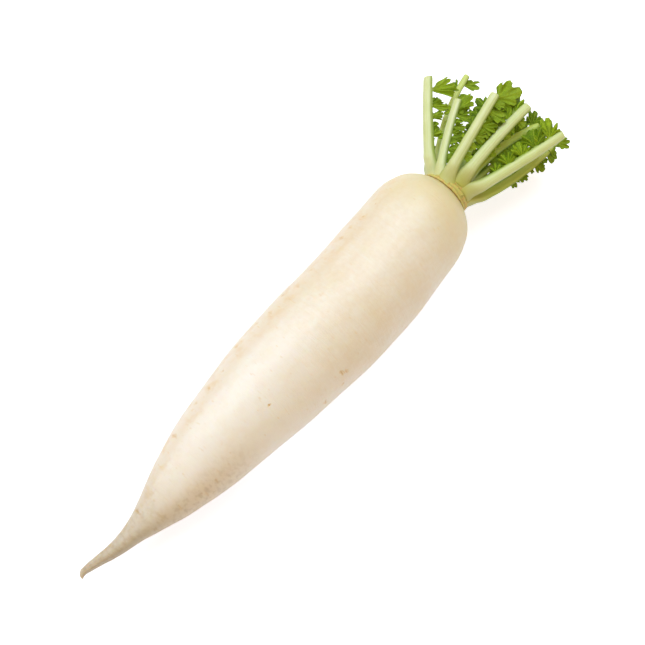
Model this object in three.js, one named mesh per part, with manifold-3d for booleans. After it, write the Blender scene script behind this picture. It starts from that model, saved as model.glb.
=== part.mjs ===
// Daikon radish, lying on its side: a long white root, the short crown on top of it, and fifteen leaf stalks
// that were cut short and still carry their lowest leaflets.
//
// Units are millimetres. +X runs from the tip of the tail to the crown and +Z is up. The root lies on Z = 0,
// with the origin in the middle of its flat resting spot, close under the centre of mass.

import * as THREE from "three";
import { mergeVertices } from "three/addons/utils/BufferGeometryUtils.js";
import Module from "manifold-3d";

const wasm = await Module();
wasm.setup();

// ---- Driving dimensions ----

const GAP = 0.3; // clearance kept between neighbouring pieces

const TAIL_X = -219; // tip of the tail
const CROWN_X = 129; // plane where the root ends and the crown begins
const ROOT_OUTLINE = [
  // distance from the tip of the tail, radius
  [0, 0], [1.2, 1.8], [9, 3.4], [27, 5.5], [42, 7.8], [58, 12.9], [77, 19.5], [101, 25.5], [130, 30],
  [165, 34.2], [204, 36.8], [245, 37.5], [286, 37.1], [314, 35.5], [328, 32.2], [336, 28.2], [343, 22.6],
  [348, 18.2],
];
const ROOT_SIDES = 28;
const ROOT_STATIONS = 24;

const AXIS_HEIGHT = 36.6; // of the root's middle line above the resting spot
const AXIS_RISE = 0.02; // slope of that line up to the thick end
const TAIL_DROP = 19; // how far the middle line sinks from TAIL_DROP_X to the tip
const TAIL_DROP_X = -34;
const TAIL_HOOK = 9.8; // sideways hook of the tail, over its last TAIL_HOOK_REACH
const TAIL_HOOK_REACH = 52;
const TAIL_CURL = 2.5; // the very tip curls back, over its last TAIL_CURL_REACH
const TAIL_CURL_REACH = 4;
const BODY_SWAY = 3; // sideways bow of the thick part
const SHOULDER_LEAN = 2.2; // sideways lean of the shoulder

const SEAT_RADIUS = 17.2; // recess in the root's top that the crown sits in
const SEAT_DEPTH = 3;
const CROWN_OUTLINE = [
  // radius, distance above the root's end plane
  [0, GAP - SEAT_DEPTH], [SEAT_RADIUS - GAP - 0.2, GAP - SEAT_DEPTH], [SEAT_RADIUS - GAP, 0.2], [17.6, 1.2],
  [17.2, 2.6], [15.6, 4.4], [9.8, 7.8], [0, 9.8],
];
const CROWN_SIDES = 24;
const SCALE_COUNT = 14; // small dry scale leaves round the rim
const SCALE_LENGTH = 5.2;
const SCALE_WIDTH = 5;
const SCALE_THICKNESS = 0.9;

const STALK_SIDES = 8;
const STALK_STATIONS = [0, 0.06, 0.14, 0.25, 0.42, 0.62, 0.82, 0.985, 1]; // shares of the stalk's length
const BASE_SHARE = 0.26; // the part of a stalk that widens towards its base
const BASE_FLARE = 0.62;
const TIP_TAPER = 0.22;
const STALK_FLATNESS = 0.88; // thickness over width
const GROOVE_FLATNESS = 0.7; // the same on the side that faces the middle of the plant
const CUT_SLANT = 0.3; // slope of the knife cut across the tip
const CUT_BEVEL = 0.88; // width of the cut face over the stalk's width

const LEAFLET_THICKNESS = 0.9;
const LARGE_LEAFLET = 9; // longer ones have a finer margin
const LEAFLET_WIDTH = 0.41; // half width over length
const LEAFLET_LOBES = 2; // waves of the margin
const LEAFLET_LOBE_DEPTH = 0.24;
const LEAFLET_SWEEP = 76; // degrees between a leaflet and its stalk
const TIP_SWEEP = 34; // the same at the stalk's tip, over the last quarter of its length
const LEAFLET_FOLD = 0.3; // rise of the two halves from the midrib, over the half width
const LEAFLET_ARCH = 0.1; // sag of the midrib over the length
const LEAFLET_JITTER = 0.16; // share by which lengths and angles vary
const LEAFLET_SINK = 0.55; // share of the stalk's half width that a leaflet's root is sunk in

// Each stalk is a curve from its base through the pull of a bend point to its cut tip, measured from the
// middle of the crown's base. width is its width halfway. roll turns its grooved side about its own line:
// 0 faces down and 180 up. A row of leaflets on one margin is
// [side, count, first share, last share, shortest, longest, lift in degrees towards the grooved side].
const STALKS = {
  a: {
    base: [0.5, 15.5, 10], bend: [20.5, 38.5, 21], tip: [46.5, 59.5, 21], width: 6.5, roll: 40,
    rows: [[-1, 5, 0.23, 0.83, 5, 17, 38]],
  },
  b: {
    base: [6.5, 13.5, 5], bend: [35.5, 40, 4.5], tip: [75, 45.5, 1], width: 4, roll: 20,
    rows: [[1, 2, 0.6, 0.85, 4, 6, 25], [-1, 4, 0.4, 0.91, 4, 12, 8]],
  },
  c: {
    base: [4, 9, 11], bend: [24.5, 21.5, 17.5], tip: [48, 33, 20], width: 5, roll: 20,
    rows: [[-1, 5, 0.3, 0.9, 5, 13, 10], [1, 2, 0.5, 0.8, 4, 6, 20]],
  },
  d: {
    base: [3.5, 2, 16.5], bend: [27, 9, 35.5], tip: [60, 12, 37], width: 6.3, roll: 0,
    rows: [[-1, 5, 0.3, 0.96, 6, 17, 15], [1, 2, 0.3, 0.6, 4, 6, 25]],
  },
  e: {
    base: [3.5, -7.5, 15.5], bend: [34, -3.5, 30], tip: [71, -7.5, 29], width: 7.2, roll: -5,
    rows: [[1, 4, 0.35, 0.82, 7, 16, 12], [-1, 3, 0.4, 0.8, 4, 7, 30]],
  },
  f: {
    base: [9.5, -6.5, 7], bend: [42.5, -2.5, 9.5], tip: [72, -17, 14], width: 4.8, roll: 0,
    rows: [[1, 3, 0.5, 0.9, 7, 15, 10], [-1, 3, 0.5, 0.93, 6, 9, 10]],
  },
  g: {
    base: [9, -9, 1], bend: [46, -9, -3], tip: [80, -21.5, -7], width: 3.8, roll: 180,
    rows: [[1, 4, 0.24, 0.85, 6, 9, 15], [-1, 4, 0.2, 0.88, 6, 10, 15]],
  },
  h: {
    base: [4, -13.5, 10], bend: [38, -27.5, 17.5], tip: [75, -35.5, 19], width: 7.4, roll: -30,
    rows: [[1, 5, 0.3, 0.84, 6, 15, 12], [-1, 3, 0.4, 0.8, 3.5, 5, 70]],
  },
  i: {
    base: [3.5, -16.5, 0], bend: [39.5, -33.5, -4], tip: [79.5, -30, -6], width: 6.3, roll: 180,
    rows: [[1, 5, 0.42, 0.97, 3.5, 9, -5], [-1, 2, 0.5, 0.8, 4, 7, 20]],
  },
  j: {
    base: [4, -13.5, -10], bend: [42, -19.5, -16], tip: [77.5, -28, -19], width: 5.6, roll: 180,
    rows: [[1, 2, 0.55, 0.85, 3, 4.5, 10], [-1, 3, 0.45, 0.9, 6, 10, 15]],
  },
  k: {
    base: [3, -4, -15.5], bend: [45, 3.5, -19.5], tip: [82, 4.5, -22], width: 6, roll: 180,
    rows: [[1, 3, 0.4, 0.88, 6, 11, 15], [-1, 3, 0.45, 0.93, 6, 11, 15]],
  },
  l: {
    base: [3, 6, -15], bend: [36.5, 16.5, -18.5], tip: [69, 24, -21], width: 5.6, roll: 180,
    rows: [[1, 3, 0.4, 0.88, 5, 9, 15], [-1, 3, 0.45, 0.93, 5, 9, 15]],
  },
  m: {
    base: [2, 14.5, -8], bend: [26.5, 37.5, -12.5], tip: [52, 59.5, -15], width: 5.4, roll: 140,
    rows: [[1, 3, 0.4, 0.9, 5, 9, 10]],
  },
  n: {
    base: [8, -1, 6], bend: [35, 8, 6], tip: [64, 14, 6], width: 4, roll: 180,
    rows: [[1, 4, 0.26, 0.9, 5, 7, 15], [-1, 4, 0.24, 0.93, 5, 7, 15]],
  },
  o: {
    base: [9, 2, -3], bend: [27, 4, -5], tip: [47, 3, -9], width: 3.6, roll: 180,
    rows: [[1, 2, 0.5, 0.92, 5, 7, 15], [-1, 3, 0.4, 0.86, 5, 7, 15]],
  },
};

const ROOT_FINISH = { color: 0xf1e8d2, roughness: 0.5, metalness: 0 };
const CROWN_FINISH = { color: 0xc2ab55, roughness: 0.7, metalness: 0 };
const LEAF_FINISH = { color: 0xb4cf72, roughness: 0.5, metalness: 0 };

// ---- Shared helpers ----

// A geometry as a solid: shared vertices merged, and the triangles that this empties at the poles dropped.
function solidOf(geometry) {
  const merged = mergedOf(geometry);
  return new wasm.Manifold(
    new wasm.Mesh({
      numProp: 3,
      vertProperties: merged.attributes.position.array,
      triVerts: new Uint32Array(merged.index.array),
    }),
  );
}

function mergedOf(geometry) {
  const bare = geometry.clone();
  bare.deleteAttribute("normal");
  bare.deleteAttribute("uv");
  const merged = mergeVertices(bare, 1e-3);
  const corners = merged.index.array;
  const kept = [];
  for (let i = 0; i < corners.length; i += 3) {
    const [a, b, c] = corners.slice(i, i + 3);
    if (a !== b && b !== c && c !== a) kept.push(a, b, c);
  }
  return merged.setIndex(kept);
}

// The same geometry swollen by GAP along its vertex normals, which cuts a neighbour back to leave that gap.
function swollen(geometry) {
  const merged = mergedOf(geometry);
  merged.computeVertexNormals();
  const { position, normal } = merged.attributes;
  for (let i = 0; i < position.count; i++)
    position.setXYZ(
      i,
      position.getX(i) + GAP * normal.getX(i),
      position.getY(i) + GAP * normal.getY(i),
      position.getZ(i) + GAP * normal.getZ(i),
    );
  return merged;
}

function joined(solids) {
  return solids.reduce((whole, solid) => whole.add(solid));
}

// The largest body of a solid: the scraps that a cut sets loose are dropped.
function largestBody(solid) {
  return solid.decompose().reduce((best, body) => (body.volume() > best.volume() ? body : best));
}

function meshOf(name, solid, finish) {
  const { numProp, vertProperties, triVerts } = solid.getMesh();
  const flat = new Float32Array((vertProperties.length / numProp) * 3);
  for (let i = 0; i * numProp < vertProperties.length; i++)
    flat.set(vertProperties.subarray(i * numProp, i * numProp + 3), i * 3);
  const geometry = new THREE.BufferGeometry();
  geometry.setAttribute("position", new THREE.BufferAttribute(flat, 3));
  geometry.setIndex(new THREE.BufferAttribute(triVerts, 1));
  geometry.computeVertexNormals();
  const mesh = new THREE.Mesh(geometry, new THREE.MeshStandardMaterial(finish));
  mesh.name = name;
  return mesh;
}

// Moves every vertex of a geometry to where place(x, y, z) puts it.
function reshaped(geometry, place) {
  const { position } = geometry.attributes;
  for (let i = 0; i < position.count; i++)
    position.setXYZ(i, ...place(position.getX(i), position.getY(i), position.getZ(i)).toArray());
  return geometry;
}

// A seeded draw from -1 to 1.
function draw(seed) {
  const wave = Math.sin(seed * 12.9898 + 4.1414) * 43758.5453;
  return 2 * (wave - Math.floor(wave)) - 1;
}

// ---- Root ----

function axisHeight(x) {
  const drop = Math.max(0, (TAIL_DROP_X - x) / (TAIL_DROP_X - TAIL_X));
  return AXIS_HEIGHT + AXIS_RISE * x - TAIL_DROP * drop ** 2;
}

function axisSway(x) {
  const along = x - TAIL_X;
  const hook = Math.max(0, 1 - along / TAIL_HOOK_REACH);
  const curl = Math.max(0, 1 - along / TAIL_CURL_REACH);
  const bow = Math.exp(-(((along - 238) / 50) ** 2));
  const lean = Math.max(0, (along - 270) / 78);
  return 0.9 + TAIL_HOOK * hook ** 1.35 - TAIL_CURL * curl ** 2 - BODY_SWAY * bow + SHOULDER_LEAN * lean ** 1.2;
}

// Slow swellings of the root's skin, as a factor of its radius.
function rootSwell(x, angle) {
  return 1 + 0.006 * Math.sin(x / 19 + 1.6 * Math.cos(angle)) + 0.005 * Math.sin(x / 8.3 + 2 * angle + 1);
}

function rootGeometry() {
  const side = new THREE.SplineCurve(ROOT_OUTLINE.map(([along, radius]) => new THREE.Vector2(radius, along)));
  const length = CROWN_X - TAIL_X;
  const profile = [
    new THREE.Vector2(0, 0),
    ...side.getPoints(ROOT_STATIONS).slice(1),
    new THREE.Vector2(SEAT_RADIUS, length),
    new THREE.Vector2(SEAT_RADIUS - 0.2, length - SEAT_DEPTH),
    new THREE.Vector2(0, length - SEAT_DEPTH),
  ];
  return reshaped(new THREE.LatheGeometry(profile, ROOT_SIDES), (lx, ly, lz) => {
    const x = TAIL_X + ly;
    const swell = rootSwell(x, Math.atan2(lx, lz));
    return new THREE.Vector3(x, axisSway(x) + lz * swell, axisHeight(x) + lx * swell);
  });
}

function rootSolid() {
  const table = new THREE.BoxGeometry(500, 200, 40).translate(0, 0, -20);
  return solidOf(rootGeometry()).subtract(solidOf(table));
}

// ---- Crown ----

const crownCentre = new THREE.Vector3(CROWN_X, axisSway(CROWN_X), axisHeight(CROWN_X));

function crownStemGeometry() {
  const profile = CROWN_OUTLINE.map(([radius, along]) => new THREE.Vector2(radius, along));
  return reshaped(new THREE.LatheGeometry(profile, CROWN_SIDES), (lx, ly, lz) =>
    new THREE.Vector3(ly, lz, lx).add(crownCentre),
  );
}

// A pointed scale on the crown's rim, leaning out a little and lying against the foot of the stalks.
function scaleGeometry(index) {
  const angle = (2 * Math.PI * (index + 0.3 * draw(index))) / SCALE_COUNT;
  const outward = new THREE.Vector3(0, Math.cos(angle), Math.sin(angle));
  const around = new THREE.Vector3(0, -Math.sin(angle), Math.cos(angle));
  const length = SCALE_LENGTH * (1 + 0.25 * draw(index + 40));
  const cone = new THREE.ConeGeometry(0.5, 1, 6, 2);
  return reshaped(cone, (lx, ly, lz) =>
    new THREE.Vector3(1.4 + length * (ly + 0.3), 0, 0)
      .addScaledVector(around, SCALE_WIDTH * lx)
      .addScaledVector(outward, 17 + SCALE_THICKNESS * lz * 1.6 + 0.9 * (ly + 0.5))
      .add(crownCentre),
  );
}

function crownGeometries() {
  const scales = Array.from({ length: SCALE_COUNT }, (_, index) => scaleGeometry(index));
  return [crownStemGeometry(), ...scales];
}

// ---- Leaf stalks ----

function stalkCurve({ base, bend, tip }) {
  const [start, pull, end] = [base, bend, tip].map((point) => new THREE.Vector3(...point).add(crownCentre));
  return new THREE.QuadraticBezierCurve3(start, pull, end);
}

// The stalk's middle, direction, grooved side and margin side at a share of its length.
function stalkFrame(stalk, share) {
  const curve = stalkCurve(stalk);
  const roll = THREE.MathUtils.degToRad(stalk.roll);
  const forward = curve.getTangent(share);
  const groove = new THREE.Vector3(0, -Math.sin(roll), -Math.cos(roll));
  groove.addScaledVector(forward, -groove.dot(forward)).normalize();
  const margin = new THREE.Vector3().crossVectors(forward, groove);
  return { middle: curve.getPoint(share), forward, groove, margin };
}

function stalkHalfWidth(stalk, share) {
  const flare = Math.max(0, 1 - share / BASE_SHARE);
  return (stalk.width / 2) * (1 + TIP_TAPER * (0.5 - share)) * (1 + BASE_FLARE * flare ** 2);
}

function petioleGeometry(stalk) {
  const stations = STALK_STATIONS.length - 1;
  return reshaped(new THREE.CylinderGeometry(1, 1, 1, STALK_SIDES, stations), (lx, ly, lz) => {
    const station = Math.round((ly + 0.5) * stations);
    const share = STALK_STATIONS[station];
    const { middle, forward, groove, margin } = stalkFrame(stalk, share);
    const bevel = station === stations ? CUT_BEVEL : 1;
    const half = stalkHalfWidth(stalk, share) * bevel;
    const depth = half * (lz > 0 ? GROOVE_FLATNESS : STALK_FLATNESS);
    const slant = CUT_SLANT * half * lz * Math.max(0, (share - 0.9) / 0.1);
    return middle
      .addScaledVector(margin, half * lx)
      .addScaledVector(groove, depth * lz)
      .addScaledVector(forward, slant);
  });
}

// Half width of a leaflet at a share of its length, over its length: a rounded blade with a lobed margin.
function leafletOutline(share) {
  const blade = 0.22 + 0.78 * Math.sin(Math.PI * share ** 0.85) ** 0.75;
  return LEAFLET_WIDTH * blade * (1 + LEAFLET_LOBE_DEPTH * Math.cos(2 * Math.PI * LEAFLET_LOBES * share));
}

// Where a leaflet stands: its root inside the stalk, its own axes and its length.
function leafletPlace(stalk, [side, count, first, last, shortest, longest, lift], index, seed) {
  const step = count > 1 ? index / (count - 1) : 1;
  const share = first + (last - first) * step + 0.02 * draw(seed);
  const { middle, forward, groove, margin } = stalkFrame(stalk, share);
  const half = stalkHalfWidth(stalk, share);
  const raised = THREE.MathUtils.degToRad(lift * (1 + LEAFLET_JITTER * draw(seed + 1)));
  const sweep = LEAFLET_SWEEP + (TIP_SWEEP - LEAFLET_SWEEP) * Math.max(0, 4 * share - 3);
  const swept = THREE.MathUtils.degToRad(sweep * (1 + LEAFLET_JITTER * draw(seed + 2)));
  const outward = margin.clone().multiplyScalar(side * Math.cos(raised)).addScaledVector(groove, Math.sin(raised));
  const along = forward.clone().multiplyScalar(Math.cos(swept)).addScaledVector(outward, Math.sin(swept));
  const across = forward.clone().multiplyScalar(Math.sin(swept)).addScaledVector(outward, -Math.cos(swept));
  const sunk = half * LEAFLET_SINK;
  const root = middle.addScaledVector(margin, side * (half - sunk));
  const length = (shortest + (longest - shortest) * step ** 1.6) * (1 + LEAFLET_JITTER * draw(seed + 3)) + sunk;
  return { root, along, across, face: new THREE.Vector3().crossVectors(across, along), length };
}

// A thin lobed blade, folded up a little along its midrib. Both faces are split into triangles alike.
function leafletGeometry({ root, along, across, face, length }) {
  const rows = length > LARGE_LEAFLET ? 8 : 4;
  const columns = [-1, 0, 1];
  const points = [];
  for (const level of [-0.5, 0.5])
    for (let row = 0; row <= rows; row++)
      for (const column of columns) {
        const share = row / rows;
        const half = length * leafletOutline(share);
        const height = LEAFLET_FOLD * half * Math.abs(column) + LEAFLET_ARCH * length * Math.sin(Math.PI * share);
        points.push(
          root
            .clone()
            .addScaledVector(along, length * share)
            .addScaledVector(across, half * column)
            .addScaledVector(face, height + level * LEAFLET_THICKNESS),
        );
      }
  const layer = points.length / 2;
  const corners = [];
  const quad = (a, b, c, d) => corners.push(a, b, c, a, c, d);
  for (let row = 0; row < rows; row++) {
    const near = 3 * row;
    const far = near + 3;
    for (const column of [0, 1]) {
      const [a, b, c, d] = [near + column, near + column + 1, far + column + 1, far + column];
      quad(a, d, c, b);
      corners.push(a + layer, c + layer, d + layer, a + layer, b + layer, c + layer);
    }
    quad(near, near + layer, far + layer, far);
    quad(near + 2, far + 2, far + 2 + layer, near + 2 + layer);
  }
  const end = 3 * rows;
  for (const column of [0, 1]) {
    quad(column, column + 1, column + 1 + layer, column + layer);
    quad(end + column + 1, end + column, end + column + layer, end + column + 1 + layer);
  }
  return new THREE.BufferGeometry().setFromPoints(points).setIndex(corners);
}

function leafletGeometries(stalk, stalkIndex) {
  return stalk.rows.flatMap((row, rowIndex) =>
    Array.from({ length: row[1] }, (_, index) =>
      leafletGeometry(leafletPlace(stalk, row, index, 100 * stalkIndex + 40 * rowIndex + 5 * index)),
    ),
  );
}

// ---- Assembly ----

const radish = new THREE.Group();
radish.name = "daikon_radish";

radish.add(meshOf("taproot", rootSolid(), ROOT_FINISH));

const crownPieces = crownGeometries();
const crownSeat = solidOf(swollen(rootGeometry()));
radish.add(meshOf("crown", joined(crownPieces.map(solidOf)), CROWN_FINISH));

// The stalks are made one after another, each cut clear of the root, the crown and the stalks before it.
let taken = crownSeat.add(joined(crownPieces.map((piece) => solidOf(swollen(piece)))));
Object.entries(STALKS).forEach(([letter, stalk], stalkIndex) => {
  const pieces = [petioleGeometry(stalk), ...leafletGeometries(stalk, stalkIndex)];
  const leaf = largestBody(joined(pieces.map(solidOf)).subtract(taken));
  taken = taken.add(joined(pieces.map((piece) => solidOf(swollen(piece)))));
  radish.add(meshOf(`leaf_stalk_${letter}`, leaf, LEAF_FINISH));
});

export default radish;
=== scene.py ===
"""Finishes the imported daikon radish: fine skins for its root, crown and leaf stalks, and a plain studio.

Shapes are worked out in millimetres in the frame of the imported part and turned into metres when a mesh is
made. +X runs from the tip of the tail to the crown, +Z is up, and the root rests on Z = 0.
"""

import logging
import math
from dataclasses import dataclass, field
from enum import Enum
from typing import NamedTuple

import bpy
import numpy as np
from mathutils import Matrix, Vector, noise


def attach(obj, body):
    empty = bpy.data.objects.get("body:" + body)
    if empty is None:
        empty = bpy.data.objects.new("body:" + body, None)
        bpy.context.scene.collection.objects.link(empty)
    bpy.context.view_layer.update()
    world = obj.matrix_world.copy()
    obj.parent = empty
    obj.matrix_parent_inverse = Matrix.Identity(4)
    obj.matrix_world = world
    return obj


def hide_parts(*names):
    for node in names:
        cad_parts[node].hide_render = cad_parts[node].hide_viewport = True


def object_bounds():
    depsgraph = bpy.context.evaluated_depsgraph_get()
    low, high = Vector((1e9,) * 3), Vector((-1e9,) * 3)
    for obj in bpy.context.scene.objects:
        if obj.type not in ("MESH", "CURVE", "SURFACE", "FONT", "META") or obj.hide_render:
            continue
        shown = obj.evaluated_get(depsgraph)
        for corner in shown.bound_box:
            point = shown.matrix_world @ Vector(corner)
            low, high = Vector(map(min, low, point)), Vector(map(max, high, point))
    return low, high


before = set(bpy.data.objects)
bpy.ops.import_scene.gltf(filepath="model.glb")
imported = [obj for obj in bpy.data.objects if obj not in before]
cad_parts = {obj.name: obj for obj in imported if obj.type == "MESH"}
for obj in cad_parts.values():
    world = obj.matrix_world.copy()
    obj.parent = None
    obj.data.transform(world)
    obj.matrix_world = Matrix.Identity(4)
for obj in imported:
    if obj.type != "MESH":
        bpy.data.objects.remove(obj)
CAD_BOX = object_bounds()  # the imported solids' lowest and highest corner, in metres

MM = 0.001  # metres in a millimetre
LOG = logging.getLogger("daikon_radish")

Colour = tuple[float, float, float, float]
Socket = bpy.types.NodeSocket
Feed = Socket | float | tuple[float, ...]  # what a node's socket takes: another's output, or a value
Values = dict[str, np.ndarray]  # numbers or vectors for the points of a surface, by name


class Slot(Enum):
    """The record's material slots."""

    ROOT_SKIN = "root_skin"
    CROWN_TISSUE = "crown_tissue"
    LEAF_STALK = "leaf_stalk"


class Margin(Enum):
    """The two edges of a leaf stalk, by the sign of their side."""

    RIGHT = 1
    LEFT = -1


class Blend(Enum):
    """How a colour is laid over another."""

    COVER = "MIX"
    STAIN = "MULTIPLY"


# ---- Shared shapes ----


def draw(seed: float) -> float:
    """A seeded draw from -1 to 1."""
    wave = math.sin(seed * 12.9898 + 4.1414) * 43758.5453
    return 2 * (wave - math.floor(wave)) - 1


def rough(points: np.ndarray, size: float, shift: float = 0.0) -> np.ndarray:
    """Smooth noise from about -1 to 1 at each point.

    Args:
        points: places in millimetres, in the last axis.
        size: width of the noise's waves in millimetres.
        shift: moves the pattern, so that no two layers match.

    Returns:
        One value for each point.
    """
    places = (points / size + shift).reshape(-1, 3).tolist()
    return np.array([noise.noise(place) for place in places]).reshape(points.shape[:-1])


def smooth_step(value: np.ndarray, low: float, high: float) -> np.ndarray:
    """Rises smoothly from 0 at low to 1 at high, or falls where high is the lower one."""
    share = np.clip((value - low) / (high - low), 0, 1)
    return share * share * (3 - 2 * share)


def bell(value: np.ndarray, width: float) -> np.ndarray:
    """1 where the value is 0, falling away over a width on both sides."""
    return np.exp(-((value / width) ** 2))


def spline_through(points: np.ndarray, steps: int) -> np.ndarray:
    """The uniform Catmull-Rom curve through points.

    Args:
        points: the points, one a row.
        steps: how many steps each span between two points is cut into.

    Returns:
        The points of the curve, one a row, with both ends.
    """
    padded = np.vstack([points[:1], points, points[-1:]])
    share = np.linspace(0, 1, steps, endpoint=False)[:, None]
    spans = []
    for before, start, end, after in zip(padded, padded[1:], padded[2:], padded[3:]):
        leave, arrive = (end - before) / 2, (after - start) / 2
        cubic = 2 * start - 2 * end + leave + arrive
        square = -3 * start + 3 * end - 2 * leave - arrive
        spans.append(cubic * share**3 + square * share**2 + leave * share + start)
    return np.vstack([*spans, points[-1:]])


def unit(vectors: np.ndarray) -> np.ndarray:
    """The vectors in the last axis, each with length 1."""
    return vectors / np.linalg.norm(vectors, axis=-1, keepdims=True)


def angle_from(angles: np.ndarray, start: float) -> np.ndarray:
    """How far angles lie from a start, from minus to plus half a turn, in radians."""
    return np.angle(np.exp(1j * (angles - start)))


def scaled(lengths: np.ndarray, direction: np.ndarray | tuple[float, ...]) -> np.ndarray:
    """Lengths along a direction, as vectors in a new last axis."""
    return lengths[..., None] * direction


@dataclass
class SkinMesh:
    """The closed surfaces of one piece and the values its material reads, gathered one by one."""

    points: list[np.ndarray] = field(default_factory=list)
    faces: list[list[int]] = field(default_factory=list)
    values: dict[str, list[np.ndarray]] = field(default_factory=dict)
    count: int = 0

    def add(self, points: np.ndarray, quads: np.ndarray, fans: np.ndarray, values: Values) -> None:
        """Adds one closed surface, with its faces turned outwards.

        Args:
            points: the surface's points, in millimetres.
            quads: faces with four corners, as rows of point numbers.
            fans: faces with three corners, likewise.
            values: a number or a vector for each point, by name.
        """
        corners = np.vstack([quads[:, [0, 1, 2]], quads[:, [0, 2, 3]], fans])
        a, b, c = (points[corners[:, i]] for i in range(3))
        if np.einsum("ij,ij->i", a, np.cross(b, c)).sum() < 0:
            quads, fans = quads[:, ::-1], fans[:, ::-1]
        self.faces += (quads + self.count).tolist() + (fans + self.count).tolist()
        self.points.append(points)
        for name, value in values.items():
            self.values.setdefault(name, []).append(value)
        self.count += len(points)

    def add_tube(self, rings: np.ndarray, poles: tuple[np.ndarray, np.ndarray], values: Values) -> None:
        """Adds a closed tube.

        Args:
            rings: the points of its rings, by ring and place in the ring.
            poles: the middle points that close its first and last ring.
            values: a number or a vector for each point of the rings, by name.
        """
        count, sides = rings.shape[:2]
        ring, side = np.meshgrid(np.arange(count - 1), np.arange(sides), indexing="ij")
        near, far, turned = ring * sides, (ring + 1) * sides, (side + 1) % sides
        quads = np.stack([near + side, near + turned, far + turned, far + side], -1).reshape(-1, 4)
        around = np.arange(sides)
        following = (around + 1) % sides
        first, last = count * sides, (count - 1) * sides
        opening = np.stack([np.full(sides, first), following, around], -1)
        closing = np.stack([np.full(sides, first + 1), last + around, last + following], -1)
        points = np.vstack([rings.reshape(-1, 3), poles[0], poles[1]])
        spread = {}
        for name, value in values.items():
            flat = value.reshape(count * sides, -1)
            spread[name] = np.vstack([flat, flat[:sides].mean(0), flat[-sides:].mean(0)])
        self.add(points, quads, np.vstack([opening, closing]), spread)

    def add_blade(self, upper: np.ndarray, lower: np.ndarray, values: Values) -> None:
        """Adds a thin closed blade.

        Args:
            upper: the points of its upper face, by row and column.
            lower: those of its lower face, in the same order.
            values: a number or a vector for each point of the upper face, then of the lower one, by name.
        """
        rows, columns = upper.shape[:2]
        layer = rows * columns
        number = np.arange(layer).reshape(rows, columns)
        corners = [number[:-1, :-1], number[:-1, 1:], number[1:, 1:], number[1:, :-1]]
        top = np.stack(corners, -1).reshape(-1, 4)
        rim = np.concatenate([number[0, :-1], number[:-1, -1], number[-1, :0:-1], number[:0:-1, 0]])
        following = np.roll(rim, -1)
        edge = np.stack([rim, rim + layer, following + layer, following], -1)
        quads = np.vstack([top, top[:, ::-1] + layer, edge])
        points = np.vstack([upper.reshape(-1, 3), lower.reshape(-1, 3)])
        flat = {name: value.reshape(2 * layer, -1) for name, value in values.items()}
        self.add(points, quads, np.zeros((0, 3), int), flat)

    def to_piece(self, name: str) -> bpy.types.Object:
        """Makes the piece, in metres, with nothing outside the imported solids' box.

        Args:
            name: the piece's name.

        Returns:
            The new object, which is in the scene and shaded smooth.
        """
        low, high = (np.array(corner) for corner in CAD_BOX)
        places = np.clip(np.vstack(self.points) * MM, low, high)
        mesh = bpy.data.meshes.new(name)
        mesh.from_pydata(places.tolist(), [], self.faces)
        for key, parts in self.values.items():
            value = np.vstack(parts).astype(np.float32)
            kind, slot = ("FLOAT", "value") if value.shape[1] == 1 else ("FLOAT_VECTOR", "vector")
            mesh.attributes.new(key, kind, "POINT").data.foreach_set(slot, value.ravel())
        mesh.shade_smooth()
        piece = bpy.data.objects.new(name, mesh)
        bpy.context.scene.collection.objects.link(piece)
        return piece


def settle(piece: bpy.types.Object, node: str, material: bpy.types.Material) -> bpy.types.Object:
    """Puts a finished piece in its node's place.

    Args:
        piece: the new piece.
        node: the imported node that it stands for.
        material: its material.

    Returns:
        The piece.
    """
    piece.data.materials.append(material)
    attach(piece, "root")
    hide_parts(node)
    return piece


# ---- Shared shading ----


def rgb(code: str) -> Colour:
    """The linear colour of a six-figure hex code."""
    parts = (int(code[i : i + 2], 16) / 255 for i in (0, 2, 4))
    return *(p / 12.92 if p <= 0.04045 else ((p + 0.055) / 1.055) ** 2.4 for p in parts), 1.0


def live(sockets: bpy.types.bpy_prop_collection, name: str) -> Socket:
    """The socket of that name that the node's settings leave in use."""
    return next(socket for socket in sockets if socket.name == name and socket.enabled)


class Coat(NamedTuple):
    """A colour laid over others: where, how strongly, which colour, and how."""

    mask: Feed
    strength: float
    colour: Feed
    blend: Blend = Blend.COVER


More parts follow.
